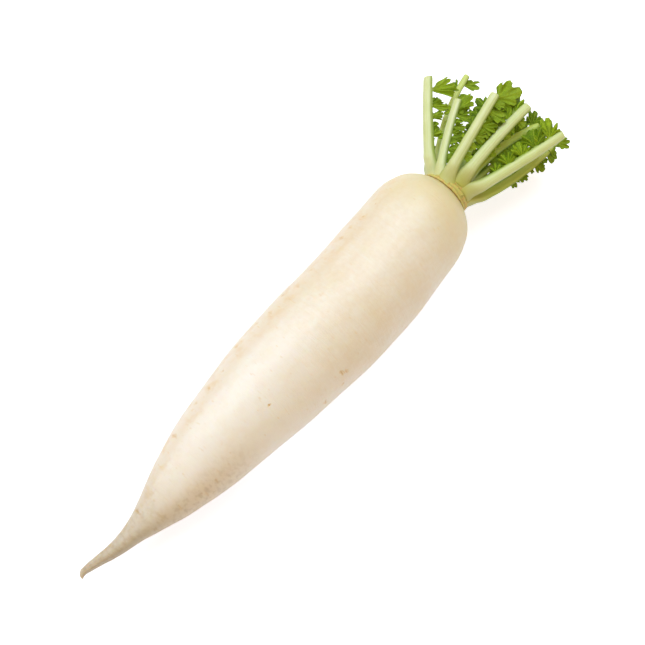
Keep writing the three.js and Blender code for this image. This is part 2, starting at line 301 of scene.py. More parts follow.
@dataclass
class Shade:
    """Adds nodes to one tree."""

    tree: bpy.types.NodeTree

    def node(self, kind: str, feeds: dict[str, Feed] | None = None, **settings: object) -> bpy.types.Node:
        """Adds one node.

        Args:
            kind: the node's type.
            feeds: what goes into its named sockets.
            settings: its own properties.

        Returns:
            The node.
        """
        made = self.tree.nodes.new(kind)
        for name, value in settings.items():
            setattr(made, name, value)
        for name, value in (feeds or {}).items():
            self.feed(live(made.inputs, name), value)
        return made

    def feed(self, socket: Socket, value: Feed) -> None:
        """Links another output into a socket, or sets its value.

        Args:
            socket: the socket.
            value: the output or the value.
        """
        if isinstance(value, Socket):
            self.tree.links.new(value, socket)
        else:
            socket.default_value = value

    def math(self, operation: str, *terms: Feed, kind: str = "ShaderNodeMath") -> Socket:
        """Adds a node that works on its terms in order.

        Args:
            operation: what it does.
            terms: what it works on.
            kind: the node's type.

        Returns:
            The result.
        """
        made = self.node(kind, operation=operation)
        for socket, term in zip(made.inputs, terms):
            self.feed(socket, term)
        return made.outputs[0]

    def times(self, value: Feed, factor: Feed) -> Socket:
        """The product of two numbers."""
        return self.math("MULTIPLY", value, factor)

    def ease(self, value: Feed, low: Feed, high: Feed, floor: float = 0.0, top: float = 1.0) -> Socket:
        """Goes smoothly from floor to top while value goes from low to high."""
        feeds = {"Value": value, "From Min": low, "From Max": high, "To Min": floor, "To Max": top}
        return self.node("ShaderNodeMapRange", feeds, interpolation_type="SMOOTHSTEP").outputs[0]

    def lay(self, share: Feed, under: Feed, over: Feed, blend: Blend = Blend.COVER) -> Socket:
        """A colour with another laid over it.

        Args:
            share: how much of the upper colour shows.
            under: the lower colour.
            over: the upper colour.
            blend: how the upper one is laid on.

        Returns:
            The colour that results.
        """
        made = self.node("ShaderNodeMix", {"Factor": share}, data_type="RGBA", blend_type=blend.value)
        self.feed(live(made.inputs, "A"), under)
        self.feed(live(made.inputs, "B"), over)
        return live(made.outputs, "Result")

    def coated(self, colour: Feed, *coats: Coat) -> Feed:
        """Lays coats over a colour, one after the other.

        Args:
            colour: the colour.
            coats: the coats.

        Returns:
            The colour that results.
        """
        for mask, strength, over, blend in coats:
            colour = self.lay(self.times(mask, strength), colour, over, blend)
        return colour

    def stretched(self, vector: Feed, factors: Feed) -> Socket:
        """A vector times three factors."""
        return self.math("MULTIPLY", vector, factors, kind="ShaderNodeVectorMath")

    def split(self, vector: Feed) -> tuple[Socket, ...]:
        """The three numbers of a vector."""
        return tuple(self.node("ShaderNodeSeparateXYZ", {"Vector": vector}).outputs)

    def places(self) -> Socket:
        """The place on the piece, in millimetres."""
        return self.stretched(self.node("ShaderNodeTexCoord").outputs["Object"], (1 / MM,) * 3)

    def kept(self, name: str, output: str = "Fac") -> Socket:
        """A value kept with the mesh: its number, or its "Vector"."""
        return self.node("ShaderNodeAttribute", attribute_name=name).outputs[output]

    def raised(self, height: Socket, strength: float) -> Socket:
        """The normal of a skin with a height in millimetres."""
        feeds = {"Strength": strength, "Distance": MM, "Height": height}
        return self.node("ShaderNodeBump", feeds).outputs["Normal"]


@dataclass
class Effect:
    """A node group that works on a place, stretched by three factors, with named numbers."""

    name: str
    numbers: dict[str, float]
    outputs: tuple[str, ...]
    shade: Shade = field(init=False)
    given: bpy.types.Node = field(init=False)
    place: Socket = field(init=False)

    def __post_init__(self) -> None:
        """Starts the group with its sockets."""
        tree = bpy.data.node_groups.new(self.name, "ShaderNodeTree")
        for label, usual in (("Place", (0, 0, 0)), ("Stretch", (1, 1, 1)), *self.numbers.items()):
            kind = "NodeSocketVector" if isinstance(usual, tuple) else "NodeSocketFloat"
            tree.interface.new_socket(label, in_out="INPUT", socket_type=kind).default_value = usual
        for label in self.outputs:
            tree.interface.new_socket(label, in_out="OUTPUT", socket_type="NodeSocketFloat")
        self.shade = Shade(tree)
        self.given = self.shade.node("NodeGroupInput")
        self.place = self.shade.stretched(self.number("Place"), self.number("Stretch"))

    def number(self, name: str) -> Socket:
        """One of the group's inputs, inside it."""
        return self.given.outputs[name]

    def pattern(self, kind: str, size: str, feeds: dict[str, Feed] | None = None) -> bpy.types.Node:
        """A texture node whose waves or cells are as large as the input of that name."""
        scale = self.shade.math("DIVIDE", 1.0, self.number(size))
        return self.shade.node(kind, {"Vector": self.place, "Scale": scale, **(feeds or {})})

    def end(self, *results: Socket) -> None:
        """Links the results to the group's outputs, in order."""
        self.shade.node("NodeGroupOutput", dict(zip(self.outputs, results)))

    def on(self, shade: Shade, place: Socket, **numbers: Feed) -> bpy.types.Node:
        """Places the group in a material.

        Args:
            shade: the material's tree.
            place: the place that it works on.
            numbers: its other inputs, by their names in small letters.

        Returns:
            The group's node.
        """
        made = shade.node("ShaderNodeGroup", node_tree=self.shade.tree)
        shade.feed(made.inputs["Place"], place)
        for name, value in numbers.items():
            shade.feed(made.inputs[name.title()], value)
        return made

    def mask(self, shade: Shade, place: Socket, **numbers: Feed) -> Socket:
        """Places the group in a material, as on does, and gives its mask."""
        return self.on(shade, place, **numbers).outputs["Mask"]


class SkinEffects:
    """The node groups that more than one finish uses, each built once."""

    def __init__(self) -> None:
        """Builds the groups."""
        self.blotches = self._blotches()
        self.specks = self._specks()
        self.grain = self._grain()

    @staticmethod
    def _blotches() -> Effect:
        """Soft patches, or streaks where they are stretched.

        Returns:
            The group.
        """
        effect = Effect("soft_blotches", {"Size": 10.0, "Detail": 3.0, "Low": 0.4, "High": 0.6}, ("Mask",))
        waves = effect.pattern("ShaderNodeTexNoise", "Size", {"Detail": effect.number("Detail")})
        effect.end(effect.shade.ease(waves.outputs["Fac"], effect.number("Low"), effect.number("High")))
        return effect

    @staticmethod
    def _specks() -> Effect:
        """Sparse spots of uneven size with soft edges.

        Returns:
            The group.
        """
        effect = Effect("sparse_specks", {"Spacing": 5.0, "Radius": 0.2, "Share": 0.3}, ("Mask",))
        shade = effect.shade
        cells = effect.pattern("ShaderNodeTexVoronoi", "Spacing")
        chance, size, _ = shade.split(cells.outputs["Color"])
        radius = shade.times(effect.number("Radius"), shade.ease(size, 0.0, 1.0, 0.4, 1.3))
        spot = shade.ease(cells.outputs["Distance"], radius, shade.times(radius, 0.35))
        effect.end(shade.times(spot, shade.math("LESS_THAN", chance, effect.number("Share"))))
        return effect

    @staticmethod
    def _grain() -> Effect:
        """The fine relief of a living skin, in millimetres, and the same as a share from 0 to 1.

        Returns:
            The group.
        """
        effect = Effect("skin_grain", {"Size": 1.0, "Depth": 0.05}, ("Height", "Share"))
        waves = effect.pattern("ShaderNodeTexNoise", "Size", {"Detail": 4.0, "Roughness": 0.6})
        share = effect.shade.ease(waves.outputs["Fac"], 0.3, 0.7)
        effect.end(effect.shade.times(share, effect.number("Depth")), share)
        return effect


@dataclass(frozen=True)
class Finish:
    """A material with one Principled shader. Each finish below lays on its own colours."""

    name: str = "plain"

    def material(self, effects: SkinEffects) -> bpy.types.Material:
        """Builds the material.

        Args:
            effects: the shared node groups.

        Returns:
            The material.
        """
        made = bpy.data.materials.new(self.name)
        made.use_nodes = True
        made.node_tree.nodes.clear()
        shade = Shade(made.node_tree)
        surface = shade.node("ShaderNodeBsdfPrincipled", self.sockets(shade, effects))
        shade.node("ShaderNodeOutputMaterial", {"Surface": surface.outputs["BSDF"]})
        return made

    def sockets(self, shade: Shade, effects: SkinEffects) -> dict[str, Feed]:
        """What goes into the shader's named sockets. Each finish gives its own."""
        raise NotImplementedError


@dataclass(frozen=True)
class RootSkin(Finish):
    """Satin cream skin, faintly ringed, tan in patches and at its scars, grey-brown on the tail, with tan
    painted shade on its sides.
    """

    name: str = "cream_root_skin"
    cream: Colour = rgb("F1EBDF")
    warm: Colour = rgb("ECDEC4")
    pale: Colour = rgb("F7F4EE")
    # tan painted shade, on the edge towards the lamps and on the side away from them
    painted_shade: Colour = rgb("D8BE8E")
    tan: Colour = rgb("E2C38C")
    shoulder: Colour = rgb("E3D6A4")
    # darker tan for the side away from the lamps, from the middle towards the tail
    away_side_tan: Colour = rgb("C9AB74")
    tail: Colour = rgb("B9AF97")
    soil: Colour = rgb("9A7D42")
    scar: Colour = rgb("C19A48")
    rim: Colour = rgb("8A5E1C")
    shoulder_span: tuple[float, float] = (66.0, 127.0)
    pale_span: tuple[float, float] = (10.0, -75.0)
    away_tan_span: tuple[float, float] = (-75.0, -130.0)
    tail_span: tuple[float, float] = (-128.0, -200.0)
    rim_span: tuple[float, float] = (121.6, 122.8)

    def sockets(self, shade: Shade, effects: SkinEffects) -> dict[str, Feed]:
        """What goes into the shader's named sockets.

        Args:
            shade: the material's tree.
            effects: the shared node groups.

        Returns:
            The values and links, by socket.
        """
        place = shade.places()
        mottle = effects.blotches.mask(shade, place, size=3.2, low=0.3, high=0.75)
        mark_along, mark_around, mark_tone = shade.split(shade.kept("mark", "Vector"))
        slit = shade.times(self._slit(shade, mark_along, mark_around), mark_tone)
        halo = self._halo(shade, mark_along, mark_around, mottle)
        halo = shade.times(halo, shade.ease(mark_tone, 0.0, 0.8))
        tail = shade.ease(shade.split(place)[0], *self.tail_span)
        grain = effects.grain.on(shade, place, size=0.9, depth=0.05)
        rings = effects.grain.on(shade, place, stretch=(1.0, 0.1, 0.1), size=0.7, depth=0.09)
        height = shade.math("ADD", grain.outputs["Height"], rings.outputs["Height"])
        height = shade.math("SUBTRACT", height, shade.times(slit, 0.3))
        gloss = shade.math("ADD", shade.ease(mottle, 0.0, 1.0, 0.4, 0.5), shade.times(halo, 0.15))
        return {
            "Base Color": self._colour(shade, effects, mottle, slit, halo),
            "Roughness": gloss,
            "Subsurface Weight": 0.35,
            "Subsurface Radius": (1.0, 0.62, 0.3),
            "Subsurface Scale": 5 * MM,
            "Coat Weight": shade.ease(tail, 0.0, 1.0, 0.45, 0.85),
            "Coat Roughness": 0.3,
            "Normal": shade.raised(height, 0.5),
        }

    def _colour(self, shade: Shade, effects: SkinEffects, mottle: Socket, slit: Socket, halo: Socket) -> Feed:
        """Lays on the skin's colours and its tan painted shade.

        Args:
            shade: the material's tree.
            effects: the shared node groups.
            mottle: the fine mottling.
            slit: the thin lines of the rootlet scars.
            halo: the stains round them.

        Returns:
            The colour.
        """
        place = shade.places()
        along = shade.split(place)[0]
        blotch, ring, dash = effects.blotches, (1.0, 0.07, 0.07), (1.0, 0.22, 0.22)
        patches = blotch.mask(shade, place, size=30.0, low=0.38, high=0.66)
        ringed = blotch.mask(shade, place, stretch=ring, size=1.3, detail=4.0, low=0.36, high=0.68)
        dashed = blotch.mask(shade, place, stretch=dash, size=1.5, detail=2.0, low=0.63, high=0.76)
        worn = blotch.mask(shade, place, size=9.0, low=0.45, high=0.68)
        crumbled = blotch.mask(shade, place, size=1.1, low=0.4, high=0.6)
        soiled = blotch.mask(shade, place, stretch=(1.0, 0.6, 0.6), size=2.6, low=0.42, high=0.72)
        pore = {"stretch": (1.0, 0.45, 0.45), "spacing": 3.4, "radius": 0.16, "share": 0.3}
        pores = effects.specks.mask(shade, place, **pore)
        row, side = shade.kept("scar_row"), shade.kept("lamp_side")
        # the side value runs from 1 towards the lamps to -1 away from them; both painted shade masks follow
        # it
        painted_shade, away_side = shade.ease(side, 0.89, 1.0), shade.ease(side, 0.5, -0.4)
        tail = shade.ease(along, *self.tail_span)
        away_tan = shade.times(away_side, shade.ease(along, *self.away_tan_span))
        rimmed = shade.times(shade.ease(along, *self.rim_span), shade.ease(crumbled, 0.0, 1.0, 0.4, 1.0))
        return shade.coated(
            self.cream,
            Coat(patches, 0.4, self.warm),
            Coat(ringed, 0.22, self.warm),
            Coat(mottle, 0.18, self.warm, Blend.STAIN),
            Coat(shade.ease(along, *self.pale_span), 0.8, self.pale),
            # painted shade: a tan band along the root's edge on the lamps' side
            Coat(painted_shade, 0.33, self.painted_shade),
            # painted shade: a tan tint on the side away from the lamps
            Coat(away_side, 0.11, self.painted_shade),
            Coat(shade.ease(along, *self.shoulder_span), 0.85, self.shoulder),
            Coat(shade.times(worn, shade.ease(row, 0.0, 1.0, 0.08, 0.45)), 1.0, self.tan),
            Coat(shade.times(dashed, shade.ease(row, 0.0, 1.0, 0.2, 0.75)), 1.0, self.tan),
            Coat(pores, 0.3, self.tan),
            Coat(halo, 0.8, self.tan),
            Coat(slit, 0.6, self.scar),
            Coat(rimmed, 1.0, self.rim),
            # darker tan on the side away from the lamps, from the middle towards the tail
            Coat(away_tan, 0.42, self.away_side_tan),
            # the grey-brown tail, fuller on the side away from the lamps
            Coat(shade.times(tail, shade.ease(away_side, 0.0, 1.0, 0.7, 0.95)), 1.0, self.tail),
            # speckles of soil on the tail and on the darker tan side away from the lamps
            Coat(shade.times(soiled, shade.math("MAXIMUM", tail, away_tan)), 0.3, self.soil),
        )

    @staticmethod
    def _slit(shade: Shade, along: Socket, around: Socket) -> Socket:
        """The thin cross line in the middle of each rootlet scar."""
        reach = shade.ease(shade.math("ABSOLUTE", around), 0.5, 1.0, 1.0, 0.0)
        return shade.times(shade.ease(shade.math("ABSOLUTE", along), 0.42, 0.12), reach)

    @staticmethod
    def _halo(shade: Shade, along: Socket, around: Socket, mottle: Socket) -> Socket:
        """The soft, uneven stain round each rootlet scar.

        Args:
            shade: the material's tree.
            along: distance from the scar along the root.
            around: distance from it around the root.
            mottle: the mottling that makes the stain's edge uneven.

        Returns:
            The stain's mask.
        """
        across = shade.times(along, 0.7)
        spread = shade.math("ADD", shade.times(across, across), shade.times(around, around))
        return shade.ease(spread, shade.ease(mottle, 0.0, 1.0, 0.5, 3.0), 0.1)


@dataclass(frozen=True)
class CrownTissue(Finish):
    """Corky yellow-green tissue, brown where old leaves broke off and along its lower rim."""

    name: str = "corky_crown"
    flesh: Colour = rgb("D2CE70")
    young: Colour = rgb("BBC55F")
    cork: Colour = rgb("D9A85E")
    dry: Colour = rgb("855C16")

    def sockets(self, shade: Shade, effects: SkinEffects) -> dict[str, Feed]:
        """What goes into the shader's named sockets.

        Args:
            shade: the material's tree.
            effects: the shared node groups.

        Returns:
            The values and links, by socket.
        """
        place = shade.places()
        age, rise, _ = shade.split(shade.kept("tissue", "Vector"))
        cork = effects.blotches.mask(shade, place, size=2.2, low=0.45, high=0.62)
        fibres = effects.blotches.mask(shade, place, stretch=(0.2, 1.0, 1.0), size=0.5, low=0.4, high=0.65)
        spots = effects.specks.mask(shade, place, spacing=1.3, radius=0.3, share=0.4)
        grain = effects.grain.on(shade, place, stretch=(0.5, 1.0, 1.0), size=0.7, depth=0.25)
        colour = shade.coated(
            self.flesh,
            Coat(rise, 1.0, self.young),
            Coat(fibres, 0.2, self.cork),
            Coat(cork, 0.6, self.cork),
            Coat(spots, 0.5, self.dry),
            Coat(age, 1.0, self.dry),
        )
        return {
            "Base Color": colour,
            "Roughness": shade.ease(grain.outputs["Share"], 0.0, 1.0, 0.55, 0.75),
            "Subsurface Weight": 0.15,
            "Subsurface Radius": (1.0, 0.8, 0.3),
            "Subsurface Scale": 1.5 * MM,
            "Normal": shade.raised(grain.outputs["Height"], 0.6),
        }


@dataclass(frozen=True)
class StalkSkin(Finish):
    """Pale juicy stalk: cream ribs on green, yellower at the foot, tan and dotted where it was cut, with
    painted light and shade.
    """

    name: str = "stalk_skin"
    rib: Colour = rgb("E7ECC6")
    furrow: Colour = rgb("C3D37F")
    # painted shade along both margins of the stalk
    edge: Colour = rgb("95AF40")
    # painted shade for the stalk's side towards the middle of the tuft
    hollow: Colour = rgb("74901C")
    foot: Colour = rgb("E8E7BC")
    seat: Colour = rgb("D9D077")
    # olive for the foot: partly its own colour, partly painted shade where the stalks crowd together
    foot_tint_and_shade: Colour = rgb("B0B44A")
    # painted light and shade: a fuller yellow-green, set stalk by stalk for the light each stalk sits in
    painted_light_and_shade: Colour = rgb("C9DC60")
    pith: Colour = rgb("DCE0B4")
    bundle: Colour = rgb("9CAE62")
    bruise: Colour = rgb("B59A5C")

    def sockets(self, shade: Shade, effects: SkinEffects) -> dict[str, Feed]:
        """What goes into the shader's named sockets.

        Args:
            shade: the material's tree.
            effects: the shared node groups.

        Returns:
            The values and links, by socket.
        """
        place, fibre = shade.places(), shade.kept("fibre", "Vector")
        share, rib, margin_shade = shade.split(shade.kept("stalk", "Vector"))
        cut, bundle, tuft_shade = shade.split(shade.kept("cut", "Vector"))
        fibres = effects.blotches.mask(shade, fibre, stretch=(0.03, 1.0, 1.0), size=0.42, low=0.35, high=0.68)
        patches = effects.blotches.mask(shade, place, size=11.0, low=0.35, high=0.7)
        fleck = {"stretch": (0.3, 1.0, 1.0), "spacing": 1.6, "radius": 0.16, "share": 0.25}
        flecks = effects.specks.mask(shade, fibre, **fleck)
        grain = effects.grain.on(shade, fibre, stretch=(0.05, 1.0, 1.0), size=0.3, depth=0.05)
        seated = shade.math("ADD", share, shade.times(patches, 0.03))
        inside = shade.lay(bundle, self.pith, self.bundle)
        colour = shade.coated(
            shade.lay(shade.ease(rib, 0.0, 1.0, 0.3, 0.85), self.furrow, self.rib),
            Coat(fibres, 0.35, self.furrow),
            Coat(patches, 0.3, self.furrow),
            # painted light and shade, set stalk by stalk
            Coat(shade.kept("painted_light_and_shade"), 1.0, self.painted_light_and_shade),
            # painted shade: a greener tone along both margins, where the round stalk turns down
            Coat(shade.ease(margin_shade, 0.15, 1.0), 0.85, self.edge),
            Coat(shade.ease(share, 0.24, 0.06), 0.5, self.foot),
            # painted shade on the stalk's side towards the middle of the tuft
            Coat(tuft_shade, 0.85, self.hollow),
            Coat(shade.ease(seated, 0.07, 0.015), 0.8, self.seat),
            # olive at the foot: partly its own colour, partly painted shade where the stalks crowd together
            Coat(shade.kept("foot_tint_and_shade"), 1.0, self.foot_tint_and_shade),
            Coat(flecks, 0.3, self.foot),
            Coat(shade.ease(cut, 0.35, 0.6), 1.0, inside),
            Coat(shade.ease(cut, 0.12, 0.3), 0.6, self.bruise),
            Coat(shade.ease(cut, 0.4, 0.75), 1.0, inside),
        )
        return {
            "Base Color": colour,
            "Roughness": shade.ease(grain.outputs["Share"], 0.0, 1.0, 0.36, 0.5),
            "Subsurface Weight": 0.15,
            "Subsurface Radius": (1.0, 1.0, 0.4),
            "Subsurface Scale": 2 * MM,
            "Coat Weight": 0.1,
            "Coat Roughness": 0.3,
            "Normal": shade.raised(grain.outputs["Height"], 0.6),
        }


@dataclass(frozen=True)
class LeafBlade(Finish):
    """Soft green blade: fine pale veins, painted shade in the creases between the pleats, and a duller
    underside.
    """

    name: str = "leaf_blade"
    young: Colour = rgb("9FBB1C")
    old: Colour = rgb("628A08")
    deep: Colour = rgb("2F4C02")
    vein: Colour = rgb("B2C836")
    under: Colour = rgb("8FA82E")
    stem: Colour = rgb("C3D07A")

    def sockets(self, shade: Shade, effects: SkinEffects) -> dict[str, Feed]:
        """What goes into the shader's named sockets.

        Args:
            shade: the material's tree.
            effects: the shared node groups.

        Returns:
            The values and links, by socket.
        """
        place = shade.places()
        along, _, tone = shade.split(shade.kept("blade", "Vector"))
        phase, width, below = shade.split(shade.kept("vein", "Vector"))
        from_vein = self._from_half(shade, phase)
        vein = shade.ease(shade.times(from_vein, width), 0.2, 0.06)
        branch = self._branches(shade, along, from_vein)
        patches = effects.blotches.mask(shade, place, size=2.6, low=0.35, high=0.65)
        fine = effects.blotches.mask(shade, place, size=0.7, low=0.35, high=0.65)
        grain = effects.grain.on(shade, place, size=0.7, depth=0.14)
        sunken = shade.times(shade.math("MAXIMUM", branch, vein), -0.1)
        colour = shade.coated(
            shade.lay(tone, self.old, self.young),
            # deep green where the tone is low: at random, and as painted shade on leaflets of stalks with
            # painted light and shade
            Coat(shade.ease(tone, 0.25, 0.0), 0.4, self.deep),
            Coat(patches, 0.45, self.deep),
            # painted shade in the creases between the lobes, away from their veins
            Coat(shade.ease(from_vein, 0.22, 0.5), 0.35, self.deep),
            Coat(fine, 0.25, self.young),
            Coat(below, 0.55, self.under),
            Coat(branch, 0.3, self.vein),
            Coat(vein, 0.6, self.vein),
            Coat(shade.ease(along, 0.22, 0.04), 1.0, self.stem),
        )
        return {
            "Base Color": colour,
            "Roughness": shade.ease(grain.outputs["Share"], 0.0, 1.0, 0.42, 0.55),
            "Specular IOR Level": 0.18,
            "Subsurface Weight": 0.15,
            "Subsurface Radius": (1.0, 1.0, 0.2),
            "Subsurface Scale": 0.5 * MM,
            "Normal": shade.raised(shade.math("ADD", grain.outputs["Height"], sunken), 0.7),
        }

    @staticmethod
    def _from_half(shade: Shade, count: Socket) -> Socket:
        """How far a count is from the half between two whole numbers."""
        return shade.math("ABSOLUTE", shade.math("SUBTRACT", shade.math("FRACT", count), 0.5))

    def _branches(self, shade: Shade, along: Socket, from_vein: Socket) -> Socket:
        """The side veins, swept forward from each lobe's own vein.

        Args:
            shade: the material's tree.
            along: shares of the way from the leaflet's root to its edge.
            from_vein: distance from the lobe's own vein, as a share of the lobe's width.

        Returns:
            The veins' mask.
        """
        forward = shade.ease(from_vein, 0.0, 0.5, 0.0, 1.2)
        step = shade.math("SUBTRACT", shade.times(along, 8.0), forward)
        return shade.ease(self._from_half(shade, step), 0.12, 0.03)


@dataclass(frozen=True)
class FloorPaper(Finish):
    """Plain matt paper that glows a little, more so where the camera looks straight at it."""

    name: str = "floor_paper"
    paper: Colour = (0.85, 0.85, 0.85, 1.0)
    glow: Colour = (0.22, 0.28, 0.38, 1.0)
    seen_glow: Colour = (0.6, 0.61, 0.72, 1.0)

    def sockets(self, shade: Shade, effects: SkinEffects) -> dict[str, Feed]:
        """What goes into the shader's named sockets.

        Args:
            shade: the material's tree.
            effects: the shared node groups, which plain paper doesn't use.

        Returns:
            The values and links, by socket.
        """
        seen = shade.node("ShaderNodeLightPath").outputs["Is Camera Ray"]
        return {
            "Base Color": self.paper,
            "Roughness": 0.9,
            "Specular IOR Level": 0.1,
            "Emission Color": shade.lay(seen, self.glow, self.seen_glow),
            "Emission Strength": 1.0,
        }


# ---- The plant ----


@dataclass(frozen=True)
class RootLine:
    """The root's middle line, by its place along X."""

    tail_x: float = -219.0
    crown_x: float = 129.0
    rest_height: float = 36.6
    rise: float = 0.02
    tail_drop: float = 19.0
    drop_from: float = -34.0
    side_shift: float = 0.9
    hook: float = 9.8
    hook_reach: float = 52.0
    curl: float = 2.5
    curl_reach: float = 4.0
    bow: float = 3.0
    bow_middle: float = 238.0
    bow_reach: float = 50.0
    lean: float = 2.2
    lean_from: float = 270.0
    ripple: float = 0.6
    ripple_length: float = 41.0
    ripple_start: float = 9.0
    ripple_reach: float = 90.0

    def height(self, x: np.ndarray) -> np.ndarray:
        """Height of the line above the resting spot."""
        drop = np.maximum(0, (self.drop_from - x) / (self.drop_from - self.tail_x))
        return self.rest_height + self.rise * x - self.tail_drop * drop**2

    def sway(self, x: np.ndarray) -> np.ndarray:
        """Place of the line to the side: a hook and a curl at the tail, a bow, a lean and ripples.

        Args:
            x: places along X.

        Returns:
            The place along Y of each.
        """
        along = x - self.tail_x
        hooked = np.maximum(0, 1 - along / self.hook_reach) ** 1.35
        curled = np.maximum(0, 1 - along / self.curl_reach) ** 2
        bowed = bell(along - self.bow_middle, self.bow_reach)
        leant = np.maximum(0, (along - self.lean_from) / (self.crown_x - self.tail_x - self.lean_from)) ** 1.2
        turn = 2 * np.pi * (along - self.ripple_start) / self.ripple_length
        rippled = np.cos(turn) * np.clip(1 - along / self.ripple_reach, 0, 1)
        bends = self.hook * hooked - self.curl * curled - self.bow * bowed + self.lean * leant
        return self.side_shift + bends + self.ripple * rippled

    def at(self, x: float) -> np.ndarray:
        """The point of the line at a place along X."""
        return np.array([x, float(self.sway(x)), float(self.height(x))])

    @property
    def crown_centre(self) -> np.ndarray:
        """The middle of the plane where the crown begins."""
        return self.at(self.crown_x)


@dataclass(frozen=True)
class Mark:
    """A rootlet scar on the root: its place along X, its angle from +Y towards +Z, and its size."""

    x: float
    angle: float
    half_length: float
    depth: float
    tone: float


@dataclass
class Taproot:
    """The long root, with its rings, rootlet scars and worn tail."""

    line: RootLine = RootLine()
    outline: tuple[tuple[float, float], ...] = (
        # distance from the tip of the tail, radius
        (0, 0), (1.2, 1.8), (9, 3.1), (27, 5.2), (42, 7.5), (58, 12.4), (77, 19), (101, 25.2), (130, 29.8),
        (165, 34.1), (204, 36.8), (245, 37.5), (286, 37), (314, 35.6), (326, 32.6), (333, 29.2),
        (338.6, 23.8), (342.3, 17.9),
    )
    sides: int = 224
    stations: int = 392
    seat_radius: float = 17.0
    seat_draft: float = 0.2
    seat_depth: float = 2.5
    lip_radius: float = 0.45
    lip_steps: int = 4
    press_softness: float = 0.12
    press_reach: float = 0.5
    scar_rows: tuple[float, ...] = (40.0, 220.0)
    scars_a_row: int = 24
    scar_span: tuple[float, float] = (-196.0, 96.0)
    row_width: float = 10.0
    # the angle of the side towards the lamps, which the skin's painted shade follows
    lamp_side_angle: float = 40.0
    scattered_scars: int = 60
    scattered_middle: float = -50.0
    scattered_reach: float = 160.0
    mark_gap: float = 9.0
    mark_turn: float = 0.36
    mark_reach: float = 9.0
    tail_wear: tuple[float, float] = (-150.0, -205.0)
    tail_loss: float = 0.1
    furrows: int = 5
    furrow_height: float = 0.1
    dent_height: float = 0.2
    ring_height: float = 0.03
    shoulder_ring_height: float = 0.04
    shoulder_rings: tuple[float, float] = (96.0, 124.0)
    dents: tuple[Mark, ...] = (
        Mark(-18.6, 150.3, 2.6, 0.3, 0.7),
        Mark(-15.6, 153.0, 1.9, 0.2, 0.5),
        Mark(-21.0, 166.0, 1.2, 0.15, 0.5),
        Mark(-66.7, 117.8, 0.8, 0.25, 1.0),
        Mark(-117.9, 41.3, 3.6, 0.2, 0.5),
        Mark(-20.4, 40.3, 3.4, 0.15, 0.4),
        Mark(47.8, 40.4, 3.0, 0.15, 0.45),
        Mark(-37.2, 170.1, 3.2, 0.15, 0.5),
        Mark(-166.4, 52.5, 3.0, 0.3, 0.7),
        Mark(-193.2, 45.0, 1.3, 0.35, 0.8),
        Mark(-130.1, 156.5, 3.6, 0.15, 0.3),
        Mark(-147.3, 137.2, 3.2, 0.15, 0.3),
        Mark(-159.1, 127.6, 2.8, 0.15, 0.3),
        Mark(-120.7, 144.3, 2.6, 0.1, 0.3),
        Mark(-166.0, 152.0, 3.4, 0.2, 0.4),
    )

    def build(self, effects: SkinEffects) -> bpy.types.Object:
        """Makes and dresses the root.

        Args:
            effects: the shared node groups.

        Returns:
            The piece.
        """
        along, radius = self._profile()
        angle = np.linspace(0, 2 * np.pi, self.sides, endpoint=False)
        x, around = np.meshgrid(self.line.tail_x + along, angle, indexing="ij")
        swollen = radius[:, None] * self._swell(x, around)
        mark, dent = self._marks_on(x, around, swollen)
        relief = self._relief(self._placed(x, around, swollen), x, around) - dent
        skin = self._with_seat(self._placed(x, around, swollen + relief * smooth_step(swollen, 0.2, 3.0)))
        seat_rings = len(skin) - len(x)
        unmarked = np.broadcast_to((self.mark_reach, self.mark_reach, 0.0), (seat_rings, self.sides, 3))
        turns = np.stack([angle_from(around, math.radians(row)) for row in self.scar_rows])
        row = bell(np.abs(turns).min(0) * radius[:, None], self.row_width)
        values = {
            "mark": np.vstack([mark, unmarked]),
            "scar_row": np.vstack([row, np.zeros((seat_rings, self.sides))]),
            # how far each point faces the lamps, which the skin's painted shade follows
            "lamp_side": np.cos(angle - math.radians(self.lamp_side_angle)) * np.ones((len(skin), 1)),
        }
        floor = self._end_centre - (self.seat_depth, 0, 0)
        mesh = SkinMesh()
        mesh.add_tube(self._flattened(skin), (self.line.at(self.line.tail_x), floor), values)
        piece = mesh.to_piece("root_body")
        return settle(piece, "taproot", RootSkin().material(effects))

    @property
    def _end_centre(self) -> np.ndarray:
        """The middle of the root's own end, a little short of the plane where the leaf stalks begin."""
        short = self.line.tail_x + self.outline[-1][0] - self.line.crown_x
        return self.line.crown_centre + (short, 0, 0)

    def _profile(self) -> tuple[np.ndarray, np.ndarray]:
        """The rings, closer together at the tip and at the shoulder.

        Returns:
            The distance of each ring from the tip, and its radius.
        """
        curve = spline_through(np.array(self.outline, float), 60)
        step = np.linalg.norm(np.diff(curve, axis=0), axis=1)
        middle = (curve[1:, 0] + curve[:-1, 0]) / 2
        weight = 1 + 6 * np.exp(-middle / 4) + 1.2 * np.exp(-(curve[-1, 0] - middle) / 8)
        travelled = np.concatenate([[0], np.cumsum(step * weight)])
        wanted = np.linspace(0, travelled[-1], self.stations + 1)[1:]
        return np.interp(wanted, travelled, curve[:, 0]), np.interp(wanted, travelled, curve[:, 1])

    def _placed(self, x: np.ndarray, around: np.ndarray, radius: np.ndarray) -> np.ndarray:
        """Points at a distance from the middle line."""
        y = self.line.sway(x) + radius * np.cos(around)
        return np.stack([x, y, self.line.height(x) + radius * np.sin(around)], -1)

    @staticmethod
    def _swell(x: np.ndarray, around: np.ndarray) -> np.ndarray:
        """Slow swellings of the skin, as a factor of its radius."""
        slow, quick = np.sin(x / 19 + 1.6 * np.cos(around)), np.sin(x / 8.3 + 2 * around + 1)
        return 1 + 0.006 * slow + 0.005 * quick

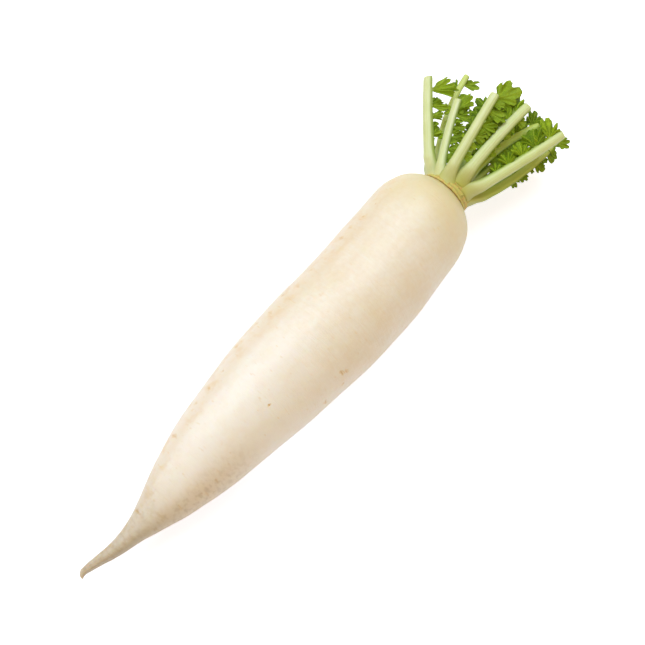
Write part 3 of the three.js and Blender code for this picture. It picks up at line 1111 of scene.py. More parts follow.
    def _relief(self, skin: np.ndarray, x: np.ndarray, around: np.ndarray) -> np.ndarray:
        """Height of the skin's own relief: shallow dents, cross rings, and furrows on the tail.

        Args:
            skin: the points of the skin.
            x: their places along X.
            around: their angles.

        Returns:
            The height of each point, in millimetres.
        """
        squashed = skin * (1, 0.16, 0.16)
        tail, shoulder = smooth_step(x, *self.tail_wear), smooth_step(x, *self.shoulder_rings)
        rings = rough(squashed, 1.9, 3.1) + 0.7 * rough(squashed, 4.6, 8.2)
        dents = self.dent_height * (rough(skin, 24, 1.7) + 0.35 * rough(skin, 8.5, 5.3))
        stripes = np.sin(self.furrows * around + x / 13)
        furrows = self.furrow_height * (stripes + 1.2 * rough(skin * (0.25, 1, 1), 2.1, 6.6))
        ring_height = self.ring_height * (1 + tail) + self.shoulder_ring_height * shoulder
        return dents * (1 - tail) + rings * ring_height + (furrows - self.tail_loss) * tail

    def _marks(self) -> list[Mark]:
        """The rootlet scars: two rows on opposite sides, some scattered ones and a few darker pits.

        Returns:
            The scars.
        """
        first, last = self.scar_span
        marks = list(self.dents)
        for row, middle in enumerate(self.scar_rows):
            for number in range(self.scars_a_row):
                seed = 200 * (row + 1) + 7 * number
                x = first + (last - first) * (number + 0.7 * draw(seed)) / self.scars_a_row
                size = 1.7 + 1.0 * draw(seed + 1)
                depth, tone = 0.16 + 0.08 * draw(seed + 3), 0.36 + 0.22 * draw(seed + 4)
                self._add_mark(marks, Mark(x, middle + 8 * draw(seed + 2), size, depth, tone))
        for number in range(self.scattered_scars):
            seed = 900 + 9 * number
            x = self.scattered_middle + self.scattered_reach * draw(seed)
            size = 1.2 + 0.5 * draw(seed + 1)
            self._add_mark(marks, Mark(x, 180 * draw(seed + 2), size, 0.06, 0.14 + 0.1 * draw(seed + 3)))
        return marks

    def _add_mark(self, marks: list[Mark], mark: Mark) -> None:
        """Adds a scar to the list where it has room.

        Args:
            marks: the list.
            mark: the scar.
        """
        for other in marks:
            turned = math.radians((mark.angle - other.angle + 180) % 360 - 180)
            if abs(mark.x - other.x) < self.mark_gap and abs(turned) < self.mark_turn:
                return
        marks.append(mark)

    def _marks_on(self, x: np.ndarray, around: np.ndarray, radius: np.ndarray) -> tuple[np.ndarray, ...]:
        """Where each point lies from its nearest scar, and how deep the scars dent it.

        Args:
            x: the points' places along X.
            around: their angles.
            radius: their distances from the middle line.

        Returns:
            The distance along X in millimetres, the distance around in half lengths and the scar's tone of
            each point, and each point's dent in millimetres.
        """
        far = self.mark_reach
        nearest = np.full(x.shape, np.inf)
        place = np.zeros((*x.shape, 3))
        dent = np.zeros(x.shape)
        for mark in self._marks():
            turned = angle_from(around, math.radians(mark.angle)) * radius / mark.half_length
            away = x - mark.x
            reach = (away / 1.4) ** 2 + (turned / 1.3) ** 2
            own = np.stack([away, turned, np.full(x.shape, mark.tone)], -1)
            beyond = np.stack([np.copysign(far, away), np.copysign(far, turned), 0 * away], -1)
            here = np.where((reach > far)[..., None], beyond, own)
            place = np.where((reach < nearest)[..., None], here, place)
            nearest = np.minimum(nearest, reach)
            dent += mark.depth * (np.exp(-1.5 * reach) - 0.35 * np.exp(-0.6 * reach))
        return place, dent

    def _with_seat(self, skin: np.ndarray) -> np.ndarray:
        """Adds a rounded lip and the recess that the crown sits in.

        Args:
            skin: the points of the skin, by ring.

        Returns:
            The same with the new rings at the end.
        """
        offset = (skin[-1] - self._end_centre) * (0, 1, 1)
        outward, reach = unit(offset), np.linalg.norm(offset, axis=1, keepdims=True)
        floor_radius = self.seat_radius - self.seat_draft
        radii_and_depths = []
        for turn in np.linspace(0.25, 1, self.lip_steps) * np.pi / 2:
            fallen = 1 - np.cos(turn)
            radii_and_depths.append((reach - (reach - self.seat_radius) * fallen, self.lip_radius * fallen))
        for depth in (1.0, 2.0, self.seat_depth - 0.2):
            radii_and_depths.append((self.seat_radius - self.seat_draft * depth / self.seat_depth, depth))
        for share in (0.98, 0.8, 0.5, 0.2):
            radii_and_depths.append((floor_radius * share, self.seat_depth))
        rings = [self._end_centre + outward * radius - (depth, 0, 0) for radius, depth in radii_and_depths]
        return np.concatenate([skin, np.stack(rings)])

    def _flattened(self, skin: np.ndarray) -> np.ndarray:
        """Presses the skin flat on Z = 0, with a soft edge.

        Args:
            skin: the points of the skin.

        Returns:
            The pressed points.
        """
        height, soft = skin[..., 2], self.press_softness
        pressed = skin.copy()
        raised = (height + np.sqrt(height**2 + soft**2)) / 2
        pressed[..., 2] = raised - soft / 2 * np.exp(-height.clip(0) / self.press_reach)
        return pressed


@dataclass
class Crown:
    """The short stem on top of the root, with rings of old leaf scars and dry scale leaves round its rim."""

    line: RootLine = RootLine()
    foot: tuple[tuple[float, float], ...] = ((4, -8.7), (16.2, -8.7), (16.6, -8.3))
    outline: tuple[tuple[float, float], ...] = (
        # radius, distance above the root's end plane
        (17, -6.4), (17.6, -6), (18.2, -5), (18.1, -3.4), (17.7, -1.4), (17.4, 0.8), (17, 2.7), (16, 4.3),
        (13.3, 6.2), (9.8, 7.8), (5, 9.1), (0.4, 9.7),
    )
    top: float = 9.75
    sides: int = 180
    steps: int = 9
    scar_rings: float = 3.2
    ring_depth: float = 0.55
    scales: int = 16
    scale_length: float = 5.6
    scale_width: float = 5.0
    scale_foot: tuple[float, float] = (17.3, -5.0)
    scale_rows: int = 15
    scale_columns: int = 11

    def build(self, effects: SkinEffects) -> bpy.types.Object:
        """Makes and dresses the crown.

        Args:
            effects: the shared node groups.

        Returns:
            The piece.
        """
        mesh = SkinMesh()
        self._add_stem(mesh)
        for index in range(self.scales):
            self._add_scale(mesh, index)
        piece = mesh.to_piece("crown_stem")
        return settle(piece, "crown", CrownTissue().material(effects))

    def _add_stem(self, mesh: SkinMesh) -> None:
        """Adds the domed stem.

        Args:
            mesh: the crown's mesh.
        """
        curve = spline_through(np.array(self.outline, float), self.steps)
        profile = np.vstack([self.foot, curve])
        around = np.linspace(0, 2 * np.pi, self.sides, endpoint=False)
        radius, turned = np.meshgrid(profile[:, 0], around, indexing="ij")
        above = np.broadcast_to(profile[:, 1:], radius.shape)
        points = self._placed(above, radius, turned)
        exposed = smooth_step(above, -6.0, -5.0)
        height = above / self.outline[-1][1]
        wave = 0.5 + 0.5 * np.cos(2 * np.pi * (height * self.scar_rings + 0.35 * rough(points, 7, 2.2)))
        lumps = 0.45 * rough(points, 3.4, 4.4) + 0.2 * rough(points, 1.4, 7.1)
        relief = (lumps - self.ring_depth * wave**3) * exposed
        points = self._placed(above + 0.3 * relief, radius + 0.7 * relief, turned)
        broken = 0.5 + 0.5 * rough(points, 2.6, 9.3)
        age = np.clip(smooth_step(above, -4.6, -5.6) * (0.4 + 0.6 * broken) + 0.3 * wave**3 * exposed, 0, 1)
        tissue = np.stack([age, smooth_step(above, -4.0, 5.0), np.zeros(age.shape)], -1)
        centre = self.line.crown_centre
        poles = (centre + (self.foot[0][1], 0, 0), centre + (self.top, 0, 0))
        mesh.add_tube(points, poles, {"tissue": tissue})

    def _placed(self, above: np.ndarray, radius: np.ndarray, around: np.ndarray) -> np.ndarray:
        """Points at a radius and height over the middle of the crown's base."""
        y, z = radius * np.cos(around), radius * np.sin(around)
        return self.line.crown_centre + np.stack([above, y, z], -1)

    def _add_scale(self, mesh: SkinMesh, index: int) -> None:
        """Adds one dry scale leaf, pointed, cupped and curled at its tip.

        Args:
            mesh: the crown's mesh.
            index: the scale leaf's number, which its draws are made from.
        """
        angle = 2 * math.pi * (index + 0.3 * draw(index)) / self.scales
        outward = np.array([0, math.cos(angle), math.sin(angle)])
        sideways = np.array([0, -math.sin(angle), math.cos(angle)])
        length = self.scale_length * (1 + 0.25 * draw(index + 40))
        rows, columns = np.linspace(0, 1, self.scale_rows), np.linspace(-1, 1, self.scale_columns)
        up, out = np.meshgrid(rows, columns, indexing="ij")
        ragged = 1 + 0.12 * np.sin(9 * up + 3 * draw(index + 80))
        pointed = np.clip(1 - up**1.6, 0.03, 1) * ragged * (0.75 + 0.25 * np.sin(np.pi * up))
        half = self.scale_width / 2 * pointed
        radius, foot = self.scale_foot
        lift = radius + 0.6 * up - 0.9 * out**2 * (1 - up) + 0.5 * up**2 * draw(index + 120)
        rise = foot + length * up * 0.92
        middle = self.line.crown_centre + scaled(rise, (1, 0, 0)) + scaled(half * out, sideways)
        thickness = scaled(0.5 - 0.35 * up, outward)
        surface = middle + scaled(lift, outward)
        tissue = np.stack([0.1 + 0.6 * up**2, 0.5 * np.ones(up.shape), out], -1)
        mesh.add_blade(surface + thickness / 2, surface - thickness / 2, {"tissue": np.stack([tissue] * 2)})


@dataclass(frozen=True)
class LeafletRow:
    """A row of leaflets on one margin of a stalk, from the first share of its length to the last."""

    margin: Margin
    count: int
    first: float
    last: float
    shortest: float
    longest: float
    lift: float


@dataclass(frozen=True)
class Leaflet:
    """A fan-shaped blade, lobed at its end, pleated along its veins and ruffled at its edge.

    It stands on its root inside the stalk, along and across its own axes, with its upper side to the face.
    """

    root: np.ndarray
    along: np.ndarray
    across: np.ndarray
    face: np.ndarray
    length: float
    fan: float
    # its stalk's painted light and shade, which darkens the blade as painted shade
    painted_light_and_shade: float
    seed: int

    large: float = 9.0
    large_grid: tuple[int, int, int] = (18, 60, 5)  # rows, columns and lobes
    small_grid: tuple[int, int, int] = (12, 36, 3)
    lobe_depth: float = 0.2
    pleat: float = 0.045
    ruffle: float = 0.05
    fold: float = 0.3
    arch: float = 0.1
    twist: float = 0.4
    root_width: float = 0.3
    bump_height: float = 0.16
    bump_size: float = 1.5
    edge_thickness: float = 0.24
    stem_thickness: float = 0.4
    stem_width: float = 0.45
    vein_thickness: float = 0.12
    vein_width: float = 0.3

    def draw(self, number: int) -> float:
        """The leaflet's own draw from -1 to 1. Each of its features has a draw of its own number."""
        return draw(self.seed + number)

    def add_to(self, mesh: SkinMesh) -> None:
        """Adds the blade to a mesh.

        Args:
            mesh: the mesh of its stalk's leaflets.
        """
        rows, columns, lobes = self.large_grid if self.length > self.large else self.small_grid
        up, side = np.meshgrid(np.linspace(0, 1, rows + 1), np.linspace(-1, 1, columns + 1), indexing="ij")
        skew = 0.1 * np.sin(2.5 * side + 3 * self.draw(11)) + 0.07 * np.sin(5 * side + 5 * self.draw(20))
        phase = lobes / 2 * (1 + side + skew * (1 - side**2))
        reach = self.length * self._outline(side, phase)
        spread = math.radians(self.fan * (1 + 0.12 * self.draw(10)))
        angle = spread * side * (0.42 + 0.58 * up)
        ahead = reach * up * np.cos(angle)
        out = reach * up * np.sin(angle) + (self.root_width + 0.03 * self.length) * side * (1 - up) ** 2
        height = self._height(up, out, phase)
        twist = self.twist * self.draw(13) * up
        outward = out * np.cos(twist) - height * np.sin(twist)
        upward = out * np.sin(twist) + height * np.cos(twist)
        middle = self.root + scaled(ahead, self.along) + scaled(outward, self.across)
        middle = middle + scaled(upward, self.face)
        bumps = self.bump_height * up * rough(middle, self.bump_size, self.seed)
        middle = middle + scaled(bumps, self.face)
        width = 2 / lobes * spread * reach * up
        veined = bell(np.abs(phase % 1 - 0.5) * width, self.vein_width) * (1 - 0.8 * up)
        thickness = self.edge_thickness + self.stem_thickness * bell(out, self.stem_width) * (1 - up)
        thickness = thickness + self.vein_thickness * veined
        above = self.edge_thickness / 2
        # the tone is drawn at random and lowered as painted shade on stalks with painted light and shade
        tone = np.full(up.shape, (0.5 + 0.5 * self.draw(17)) * (1 - 0.6 * self.painted_light_and_shade))
        veins = [np.stack([phase, width, np.full(up.shape, under)], -1) for under in (0.0, 1.0)]
        values = {"blade": np.stack([np.stack([up, side, tone], -1)] * 2), "vein": np.stack(veins)}
        mesh.add_blade(middle + above * self.face, middle - scaled(thickness - above, self.face), values)

    def _height(self, up: np.ndarray, out: np.ndarray, phase: np.ndarray) -> np.ndarray:
        """Height of the blade over its axes: folded, arched, pleated and ruffled.

        Args:
            up: shares of the way from its root to its edge.
            out: distances from its middle line.
            phase: places across the fan, counted in lobes.

        Returns:
            The height of each point, in millimetres.
        """
        ridge = np.cos(2 * np.pi * phase) * self.pleat * self.length * up**1.2
        wave = np.sin(2.3 * phase + 9 * self.draw(14)) + 0.7 * np.sin(7.1 * phase + 9 * self.draw(15))
        ruffle = self.ruffle * self.length * up**2.5 * wave
        bowl = self.fold * (0.8 + 0.6 * self.draw(16)) * np.abs(out)
        arch = self.arch * self.length * (np.sin(np.pi * up) + 1.4 * self.draw(12) * up**2)
        return bowl + arch - ridge + ruffle

    def _outline(self, side: np.ndarray, phase: np.ndarray) -> np.ndarray:
        """Reach of the edge from the root, as a share of the length.

        Args:
            side: places across the fan, from -1 to 1.
            phase: the same, counted in lobes.

        Returns:
            The share at each place.
        """
        envelope = 1 - 0.45 * np.abs(side) ** 1.8
        uneven = 1 + 0.1 * np.sin(1.7 * phase + 9 * self.draw(18))
        uneven = uneven + 0.05 * np.sin(4.3 * phase + 9 * self.draw(21))
        notch = np.abs(np.cos(np.pi * phase)) ** 5 * (1 + 0.5 * np.sin(2.1 * phase + 9 * self.draw(19)))
        tooth = 0.025 * np.cos(6 * np.pi * phase) + 0.015 * np.cos(10.3 * np.pi * phase + self.seed)
        return np.clip(envelope * uneven * (1 - self.lobe_depth * notch - tooth), 0.2, 1.04)


@dataclass(frozen=True)
class LeafStalk:
    """A leaf stalk that was cut short, with the lowest leaflets of its leaf.

    Its line is a curve from the base, set back by foot_back, through the pull of a bend point to the cut
    tip, measured from the middle of the crown's base. width is the stalk's width halfway. roll turns its
    grooved side about its own line: 0 faces down and 180 up. between_scale is the size of the small leaflets
    between those of a row, and fan half the angle of a leaflet's fan. From 0 to 1, lush sets the painted
    light and shade of the stalk, a fuller yellow-green, and darkens its leaflets as painted shade; shelter
    sets the painted shade on its side towards the middle of the tuft; and ripeness gives its foot an olive
    tint, partly its own colour and partly painted shade where the stalks crowd together.
    """

    letter: str
    base: tuple[float, float, float]
    bend: tuple[float, float, float]
    tip: tuple[float, float, float]
    width: float
    roll: float
    rows: tuple[LeafletRow, ...]
    foot_back: float = 2.4
    between_scale: float = 0.5
    fan: float = 58.0
    painted_light_and_shade: float = 0.0
    tuft_shade_strength: float = 1.0
    foot_tint_and_shade_share: float = 0.5
    line: RootLine = RootLine()

    base_share: float = 0.26
    base_flare: float = 0.66
    tip_taper: float = 0.22
    flatness: float = 0.88
    groove_flatness: float = 0.7
    groove_depth: float = 0.2
    groove_width: float = 0.42
    cut_slant: float = 0.3
    cut_sag: float = 0.3
    cut_steps: tuple[float, ...] = (1.0, 0.7, 0.46, 0.28, 0.14, 0.05, 0)
    cut_rounding: tuple[float, ...] = (1, 0.99, 0.965, 0.925, 0.865, 0.79, 0.72)
    cut_inward: tuple[float, ...] = (0.68, 0.61, 0.52, 0.43, 0.33, 0.21, 0.1)
    bundles: int = 9
    bundle_place: float = 0.62
    bundle_width: float = 0.12
    ribs: int = 12
    rib_height: float = 0.022
    foot_share: float = 0.06
    foot_pull: float = 2.4
    foot_pull_share: float = 0.2
    foot_pull_reach: float = 1.7
    waver: float = 0.15
    waver_size: float = 6.5
    slant_from: float = 0.9
    clasp_from: float = 12.0
    clasp_radius: float = 17.3
    clasp_share: float = 0.17
    clasp_press: float = 0.86
    clasp_spread: float = 0.22
    inner_radius: float = 6.0
    outer_radius: float = 10.0
    sides: int = 48
    rings: int = 84

    sweep: float = 76.0
    tip_sweep: float = 34.0
    jitter: float = 0.16
    sink: float = 0.55

    @property
    def index(self) -> int:
        """The stalk's number, which its draws are made from."""
        return ord(self.letter) - ord("a")

    @property
    def radial(self) -> np.ndarray:
        """The base's offset from the middle of the crown, across the root."""
        return np.array([0, self.base[1], self.base[2]])

    def frames(self, share: np.ndarray) -> tuple[np.ndarray, np.ndarray, np.ndarray, np.ndarray]:
        """The stalk's middle, direction, grooved side and margin side.

        Args:
            share: shares of the stalk's length.

        Returns:
            Four arrays of vectors, one for each share.
        """
        centre = self.line.crown_centre
        start, pull, end = (np.array(point) + centre for point in (self.base, self.bend, self.tip))
        start = start - (self.foot_back, 0, 0)
        late = np.asarray(share, float)[..., None]
        early = 1 - late
        middle = early**2 * start + 2 * early * late * pull + late**2 * end
        forward = unit(early * (pull - start) + late * (end - pull))
        roll = math.radians(self.roll)
        down = np.array([0, -math.sin(roll), -math.cos(roll)])
        groove = unit(down - (forward @ down)[..., None] * forward)
        return middle, forward, groove, np.cross(forward, groove)

    def half_width(self, share: np.ndarray) -> np.ndarray:
        """Half the stalk's width at shares of its length."""
        flare = np.maximum(0, 1 - share / self.base_share)
        return self.width / 2 * (1 + self.tip_taper * (0.5 - share)) * (1 + self.base_flare * flare**2)

    def build(self, skin: bpy.types.Material, blade: bpy.types.Material) -> list[bpy.types.Object]:
        """Makes and dresses the stalk and its leaflets.

        Args:
            skin: the stalks' material.
            blade: the leaflets' material.

        Returns:
            The two pieces.
        """
        petiole, blades = SkinMesh(), SkinMesh()
        self._add_petiole(petiole)
        for leaflet in self._leaflets():
            leaflet.add_to(blades)
        dressed = ((petiole, "petiole", skin), (blades, "leaflets", blade))
        node = f"leaf_stalk_{self.letter}"
        return [
            settle(mesh.to_piece(f"{kind}_{self.letter}"), node, material)
            for mesh, kind, material in dressed
        ]

    def _add_petiole(self, mesh: SkinMesh) -> None:
        """Adds the ribbed stalk with its knife cut.

        Args:
            mesh: the stalk's mesh.
        """
        share, size, face = self._stations()
        turned = np.linspace(0, 2 * np.pi, self.sides, endpoint=False)
        out, deep = np.sin(turned), np.cos(turned)
        middle, forward, groove, margin = self.frames(share)
        reach = min(self.foot_pull, self.foot_pull_share * float(np.linalg.norm(self.radial)))
        pull = reach * np.maximum(0, 1 - share / (self.foot_pull_reach * self.foot_share)) ** 2
        middle = middle - scaled(pull, unit(self.radial))
        half = self.half_width(share) * size
        ribbed = self._ribbed(turned, share, face)
        fullness = 1 + self.rib_height * ribbed * smooth_step(deep, 0.75, 0.1)
        hollow = bell(out, self.groove_width) * (deep > 0) * smooth_step(share, 0.0, 0.2)
        grooved = self.groove_flatness * (1 - self.groove_depth * hollow)
        depth = np.where(deep > 0, grooved, self.flatness)
        slanting = np.maximum(0, (share - self.slant_from) / (1 - self.slant_from))
        slant = self.cut_slant * half * deep * slanting
        sag = self.cut_sag * smooth_step(face, 0.2, 0.9)
        points = middle + scaled(half * out * fullness, margin)
        points = points + scaled(half * deep * depth * fullness, groove) + scaled(slant - sag, forward)
        points = points + scaled(self.waver * rough(points, self.waver_size, self.index), margin)
        if np.linalg.norm(self.radial) > self.clasp_from:
            points = self._clasped(points, share)

        steps = np.linalg.norm(np.diff(middle, axis=0), axis=-1)
        along = np.vstack([[0], np.cumsum(steps, axis=0)])
        grid = np.ones((len(share), self.sides))
        bundle = np.clip(np.cos(self.bundles * turned), 0, 1)
        bundle = bundle * bell(face - self.bundle_place, self.bundle_width)
        # painted shade on the side towards the middle of the tuft, carried as the cut vector's third value
        tuft_shade = self.tuft_shade_strength * self._tuft_shade(points - middle, share)
        values = {
            # the stalk vector's third value is the margins' share, for their painted shade
            "stalk": np.stack([share * grid, 0.5 + 0.5 * ribbed * grid, np.abs(out) ** 3 * grid], -1),
            "cut": np.stack([face * grid, bundle, tuft_shade], -1),
            "fibre": np.stack([along * grid, half * out + 30 * self.index, half * deep], -1),
            # painted light and shade, set stalk by stalk
            "painted_light_and_shade": self.painted_light_and_shade * grid,
            # the foot's olive tint, partly its own colour and partly painted shade
            "foot_tint_and_shade": self.foot_tint_and_shade_share * smooth_step(share, 0.26, 0.03) * grid,
        }
        mesh.add_tube(points, (middle[0, 0], points[-1].mean(0)), values)

    def _stations(self) -> tuple[np.ndarray, np.ndarray, np.ndarray]:
        """The rings from the foot over the rim of the cut to its middle.

        Returns:
            Three columns with a row for each ring: its share of the stalk's length, its size as a share of
            the stalk's width there, and its place on the cut, from 0 on the skin to about 1 in the middle.
        """
        line = self.frames(np.linspace(0, 1, 30))[0]
        length = float(np.linalg.norm(np.diff(line, axis=0), axis=1).sum())
        rim = np.array(self.cut_steps) * self.width / 2 / length
        rounding, inward = np.array(self.cut_rounding), np.array(self.cut_inward)
        share = np.concatenate([np.linspace(0, 1 - 1.2 * rim[0], self.rings), 1 - rim, np.ones(len(inward))])
        size = np.concatenate([np.ones(self.rings), rounding, inward])
        face = np.concatenate([np.zeros(self.rings), 0.4 * (1 - rounding), 1.1 - 1.35 * inward])
        foot = np.clip(share / self.foot_share, 0, 1)
        size = size * (0.8 + 0.2 * np.sqrt(1 - (1 - foot) ** 2))
        return share[:, None], size[:, None], face[:, None]

    def _ribbed(self, turned: np.ndarray, share: np.ndarray, face: np.ndarray) -> np.ndarray:
        """Height of the stalk's ribs, which are uneven round it and fade at its foot and on its cut.

        Args:
            turned: the angles round the stalk.
            share: each ring's share of its length.
            face: each ring's place on the cut.

        Returns:
            The height from -1 to 1, by ring and angle.
        """
        warped = turned + 0.22 * np.sin(2 * turned + self.index) + 0.12 * np.sin(5 * turned + 2 * self.index)
        rib = np.cos(self.ribs * warped) * (0.65 + 0.35 * np.sin(3 * turned + 1.3 * self.index))
        return rib * smooth_step(face, 0.2, 0.02) * smooth_step(share, 0.02, 0.3)

    def _tuft_shade(self, offset: np.ndarray, share: np.ndarray) -> np.ndarray:
        """How much painted shade each point gets on the stalk's side towards the middle of the tuft, from 0
        to 1.

        Args:
            offset: the points' offsets from the stalk's middle line, by ring.
            share: each ring's share of its length.

        Returns:
            One value for each point.
        """
        inward_side = -unit(offset) @ unit(self.radial)
        inner = float(smooth_step(np.linalg.norm(self.radial), self.outer_radius, self.inner_radius))
        tuft_shade = np.maximum(smooth_step(inward_side, -0.3, 0.8), 0.85 * inner)
        return tuft_shade * smooth_step(share, 0.75, 0.15)

    def _clasped(self, points: np.ndarray, share: np.ndarray) -> np.ndarray:
        """The stalk's points with its foot widened and pressed onto the crown.

        Args:
            points: the stalk's points, by ring.
            share: the share of the stalk's length of each ring.

        Returns:
            The points, in the same order.
        """
        offset = points - self.line.crown_centre
        reach = np.linalg.norm(offset[..., 1:], axis=-1)
        own = math.atan2(self.base[2], self.base[1])
        turned = angle_from(np.arctan2(offset[..., 2], offset[..., 1]), own)
        grip = 1 - smooth_step(share, 0.0, self.clasp_share)
        over = np.maximum(reach - self.clasp_radius, 0)
        reach = reach - over * self.clasp_press * grip
        turned = own + turned * (1 + self.clasp_spread * grip)
        clasped = np.stack([offset[..., 0], reach * np.cos(turned), reach * np.sin(turned)], -1)
        return clasped + self.line.crown_centre

    def _leaflets(self) -> list[Leaflet]:
        """The leaflets, with a small one between every two of a row.

        Returns:
            The leaflets.
        """
        leaflets = []
        for row_index, row in enumerate(self.rows):
            for half_step in range(0, 2 * row.count - 1, 1 if self.between_scale else 2):
                seed = 100 * self.index + 40 * row_index + 5 * (half_step // 2)
                between = half_step % 2
                scale = self.between_scale if between else 1.0
                leaflets.append(self._leaflet(row, half_step / 2, scale, seed + 2 * between))
        return leaflets

    def _leaflet(self, row: LeafletRow, number: float, scale: float, seed: int) -> Leaflet:
        """One leaflet of a row.

        Args:
            row: its row.
            number: its number in the row, or a number and a half between two others.
            scale: its size as a share of the row's size there.
            seed: the seed of its draws.

        Returns:
            The leaflet.
        """
        step = number / (row.count - 1) if row.count > 1 else 1
        share = row.first + (row.last - row.first) * step + 0.02 * draw(seed)
        middle, forward, groove, margin = self.frames(np.array(share))
        half = float(self.half_width(share))
        raised = math.radians(row.lift * (1 + self.jitter * draw(seed + 1)))
        sweep = self.sweep + (self.tip_sweep - self.sweep) * max(0, 4 * share - 3)
        swept = math.radians(sweep * (1 + self.jitter * draw(seed + 2)))
        outward = margin * row.margin.value * math.cos(raised) + groove * math.sin(raised)
        along = forward * math.cos(swept) + outward * math.sin(swept)
        across = forward * math.sin(swept) - outward * math.cos(swept)
        sunk = half * self.sink
        root = middle + margin * row.margin.value * (half - sunk)
        length = row.shortest + (row.longest - row.shortest) * step**1.6
        length = length * scale * (1 + self.jitter * draw(seed + 3)) + sunk
        return Leaflet(root, along, across, np.cross(across, along), length, self.fan, self.painted_light_and_shade, seed)


STALKS = (
    LeafStalk("a", (0.5, 13.6, 10), (21, 38, 21), (47, 58.9, 21), 7.4, 40, (
        LeafletRow(Margin.LEFT, 4, 0.38, 0.84, 6, 17, 38),
    ), foot_back=3.0, between_scale=0, fan=36, foot_tint_and_shade_share=0.15),
    LeafStalk("b", (6.5, 13.5, 5), (37, 38.3, 4.5), (75, 45.5, 1), 4.8, 0, (
        LeafletRow(Margin.RIGHT, 2, 0.6, 0.85, 4, 6, 25),
        LeafletRow(Margin.LEFT, 4, 0.4, 0.91, 4, 12, 3),
    ), between_scale=0, fan=54, painted_light_and_shade=0.6, tuft_shade_strength=0, foot_tint_and_shade_share=0.2),
    LeafStalk("c", (3.8, 6.3, 13.8), (23.2, 23, 17.5), (48, 33, 20), 6.1, 20, (
        LeafletRow(Margin.LEFT, 6, 0.2, 0.9, 6.5, 13, 10),
        LeafletRow(Margin.RIGHT, 2, 0.5, 0.8, 4, 6, 20),
    ), foot_back=7.2, fan=46, foot_tint_and_shade_share=0.4),
    LeafStalk("d", (3.5, 2, 16.5), (29.3, 6.4, 35.5), (59.5, 12.4, 37), 7.0, 0, (
        LeafletRow(Margin.LEFT, 5, 0.3, 0.96, 6, 17, 15),
        LeafletRow(Margin.RIGHT, 2, 0.3, 0.6, 4, 6, 25),
    ), foot_back=6.0, foot_tint_and_shade_share=0.6),
    LeafStalk("e", (3.3, -6, 15.5), (36, -5.7, 30), (71, -7.5, 29), 7.5, -5, (
        LeafletRow(Margin.RIGHT, 4, 0.35, 0.82, 7, 16, 12),
        LeafletRow(Margin.LEFT, 3, 0.4, 0.8, 4, 7, 30),
    ), foot_back=0.4, foot_tint_and_shade_share=0.8),
    LeafStalk("f", (9.5, -6.5, 8), (42, -5.5, 12.5), (70.8, -19.2, 16.2), 5.4, 0, (
        LeafletRow(Margin.RIGHT, 4, 0.4, 0.9, 8, 10.5, 10),
        LeafletRow(Margin.LEFT, 4, 0.4, 0.86, 6.5, 7, 10),
    ), painted_light_and_shade=0.9, tuft_shade_strength=0),
    LeafStalk("g", (9, -9, 1), (46, -9, -3), (80, -21.5, -7), 3.8, 180, (
        LeafletRow(Margin.RIGHT, 5, 0.24, 0.88, 9, 13, 15),
        LeafletRow(Margin.LEFT, 5, 0.2, 0.9, 9, 13, 15),
    ), painted_light_and_shade=0.7),
    LeafStalk("h", (4, -13.5, 10), (38, -27.5, 17.5), (75, -35.5, 19), 7.4, -30, (
        LeafletRow(Margin.RIGHT, 5, 0.3, 0.84, 6, 15, 12),
        LeafletRow(Margin.LEFT, 3, 0.4, 0.8, 3.5, 5, 70),
    ), painted_light_and_shade=0.15, foot_tint_and_shade_share=0.6),
    LeafStalk("i", (3.5, -15.4, 1), (39.5, -32.3, -3), (79.5, -30, -6), 6.3, 180, (
        LeafletRow(Margin.RIGHT, 5, 0.42, 0.97, 3.5, 9, -5),
        LeafletRow(Margin.LEFT, 2, 0.5, 0.8, 4, 7, 20),
    ), foot_back=4.6, painted_light_and_shade=0.8, tuft_shade_strength=0.1, base_flare=0.35),
    LeafStalk("j", (4, -13.5, -10), (42, -19.5, -16), (77.5, -28, -19), 5.6, 180, (
        LeafletRow(Margin.RIGHT, 2, 0.55, 0.85, 3, 4.5, 10),
        LeafletRow(Margin.LEFT, 4, 0.3, 0.9, 8, 12, 15),
    ), foot_back=4.6, painted_light_and_shade=0.8),
    LeafStalk("k", (3, -4, -15.5), (45, 3.5, -19.5), (82, 4.5, -22), 6, 180, (
        LeafletRow(Margin.RIGHT, 4, 0.34, 0.88, 9, 13, 15),
        LeafletRow(Margin.LEFT, 4, 0.36, 0.93, 9, 13, 15),
    ), foot_back=4.6, painted_light_and_shade=0.7),
    LeafStalk("l", (3, 6, -15), (36.5, 16.5, -18.5), (69, 24, -21), 5.6, 180, (
        LeafletRow(Margin.RIGHT, 3, 0.4, 0.88, 5, 9, 15),
        LeafletRow(Margin.LEFT, 3, 0.45, 0.93, 5, 9, 15),
    ), foot_back=4.6, painted_light_and_shade=0.6),
    LeafStalk("m", (2, 14.5, -8), (26.5, 37.5, -12.5), (52, 59.5, -15), 5.4, 140, (
        LeafletRow(Margin.RIGHT, 3, 0.4, 0.9, 5, 9, 10),
    ), foot_back=4.6, painted_light_and_shade=0.5),
    LeafStalk("n", (8, -1, 6), (35, 8, 6), (64, 14, 6), 4.6, 180, (
        LeafletRow(Margin.RIGHT, 5, 0.26, 0.9, 7, 11, 15),
        LeafletRow(Margin.LEFT, 5, 0.24, 0.93, 7, 11, 15),
    ), painted_light_and_shade=0.8, tuft_shade_strength=0.6),
    LeafStalk("o", (9, 2, -3), (27, 4, -5), (47, 3, -9), 3.6, 180, (
        LeafletRow(Margin.RIGHT, 2, 0.5, 0.92, 6, 9, 15),
        LeafletRow(Margin.LEFT, 3, 0.4, 0.86, 6, 9, 15),
    ), painted_light_and_shade=0.8),
)


# ---- Studio ----


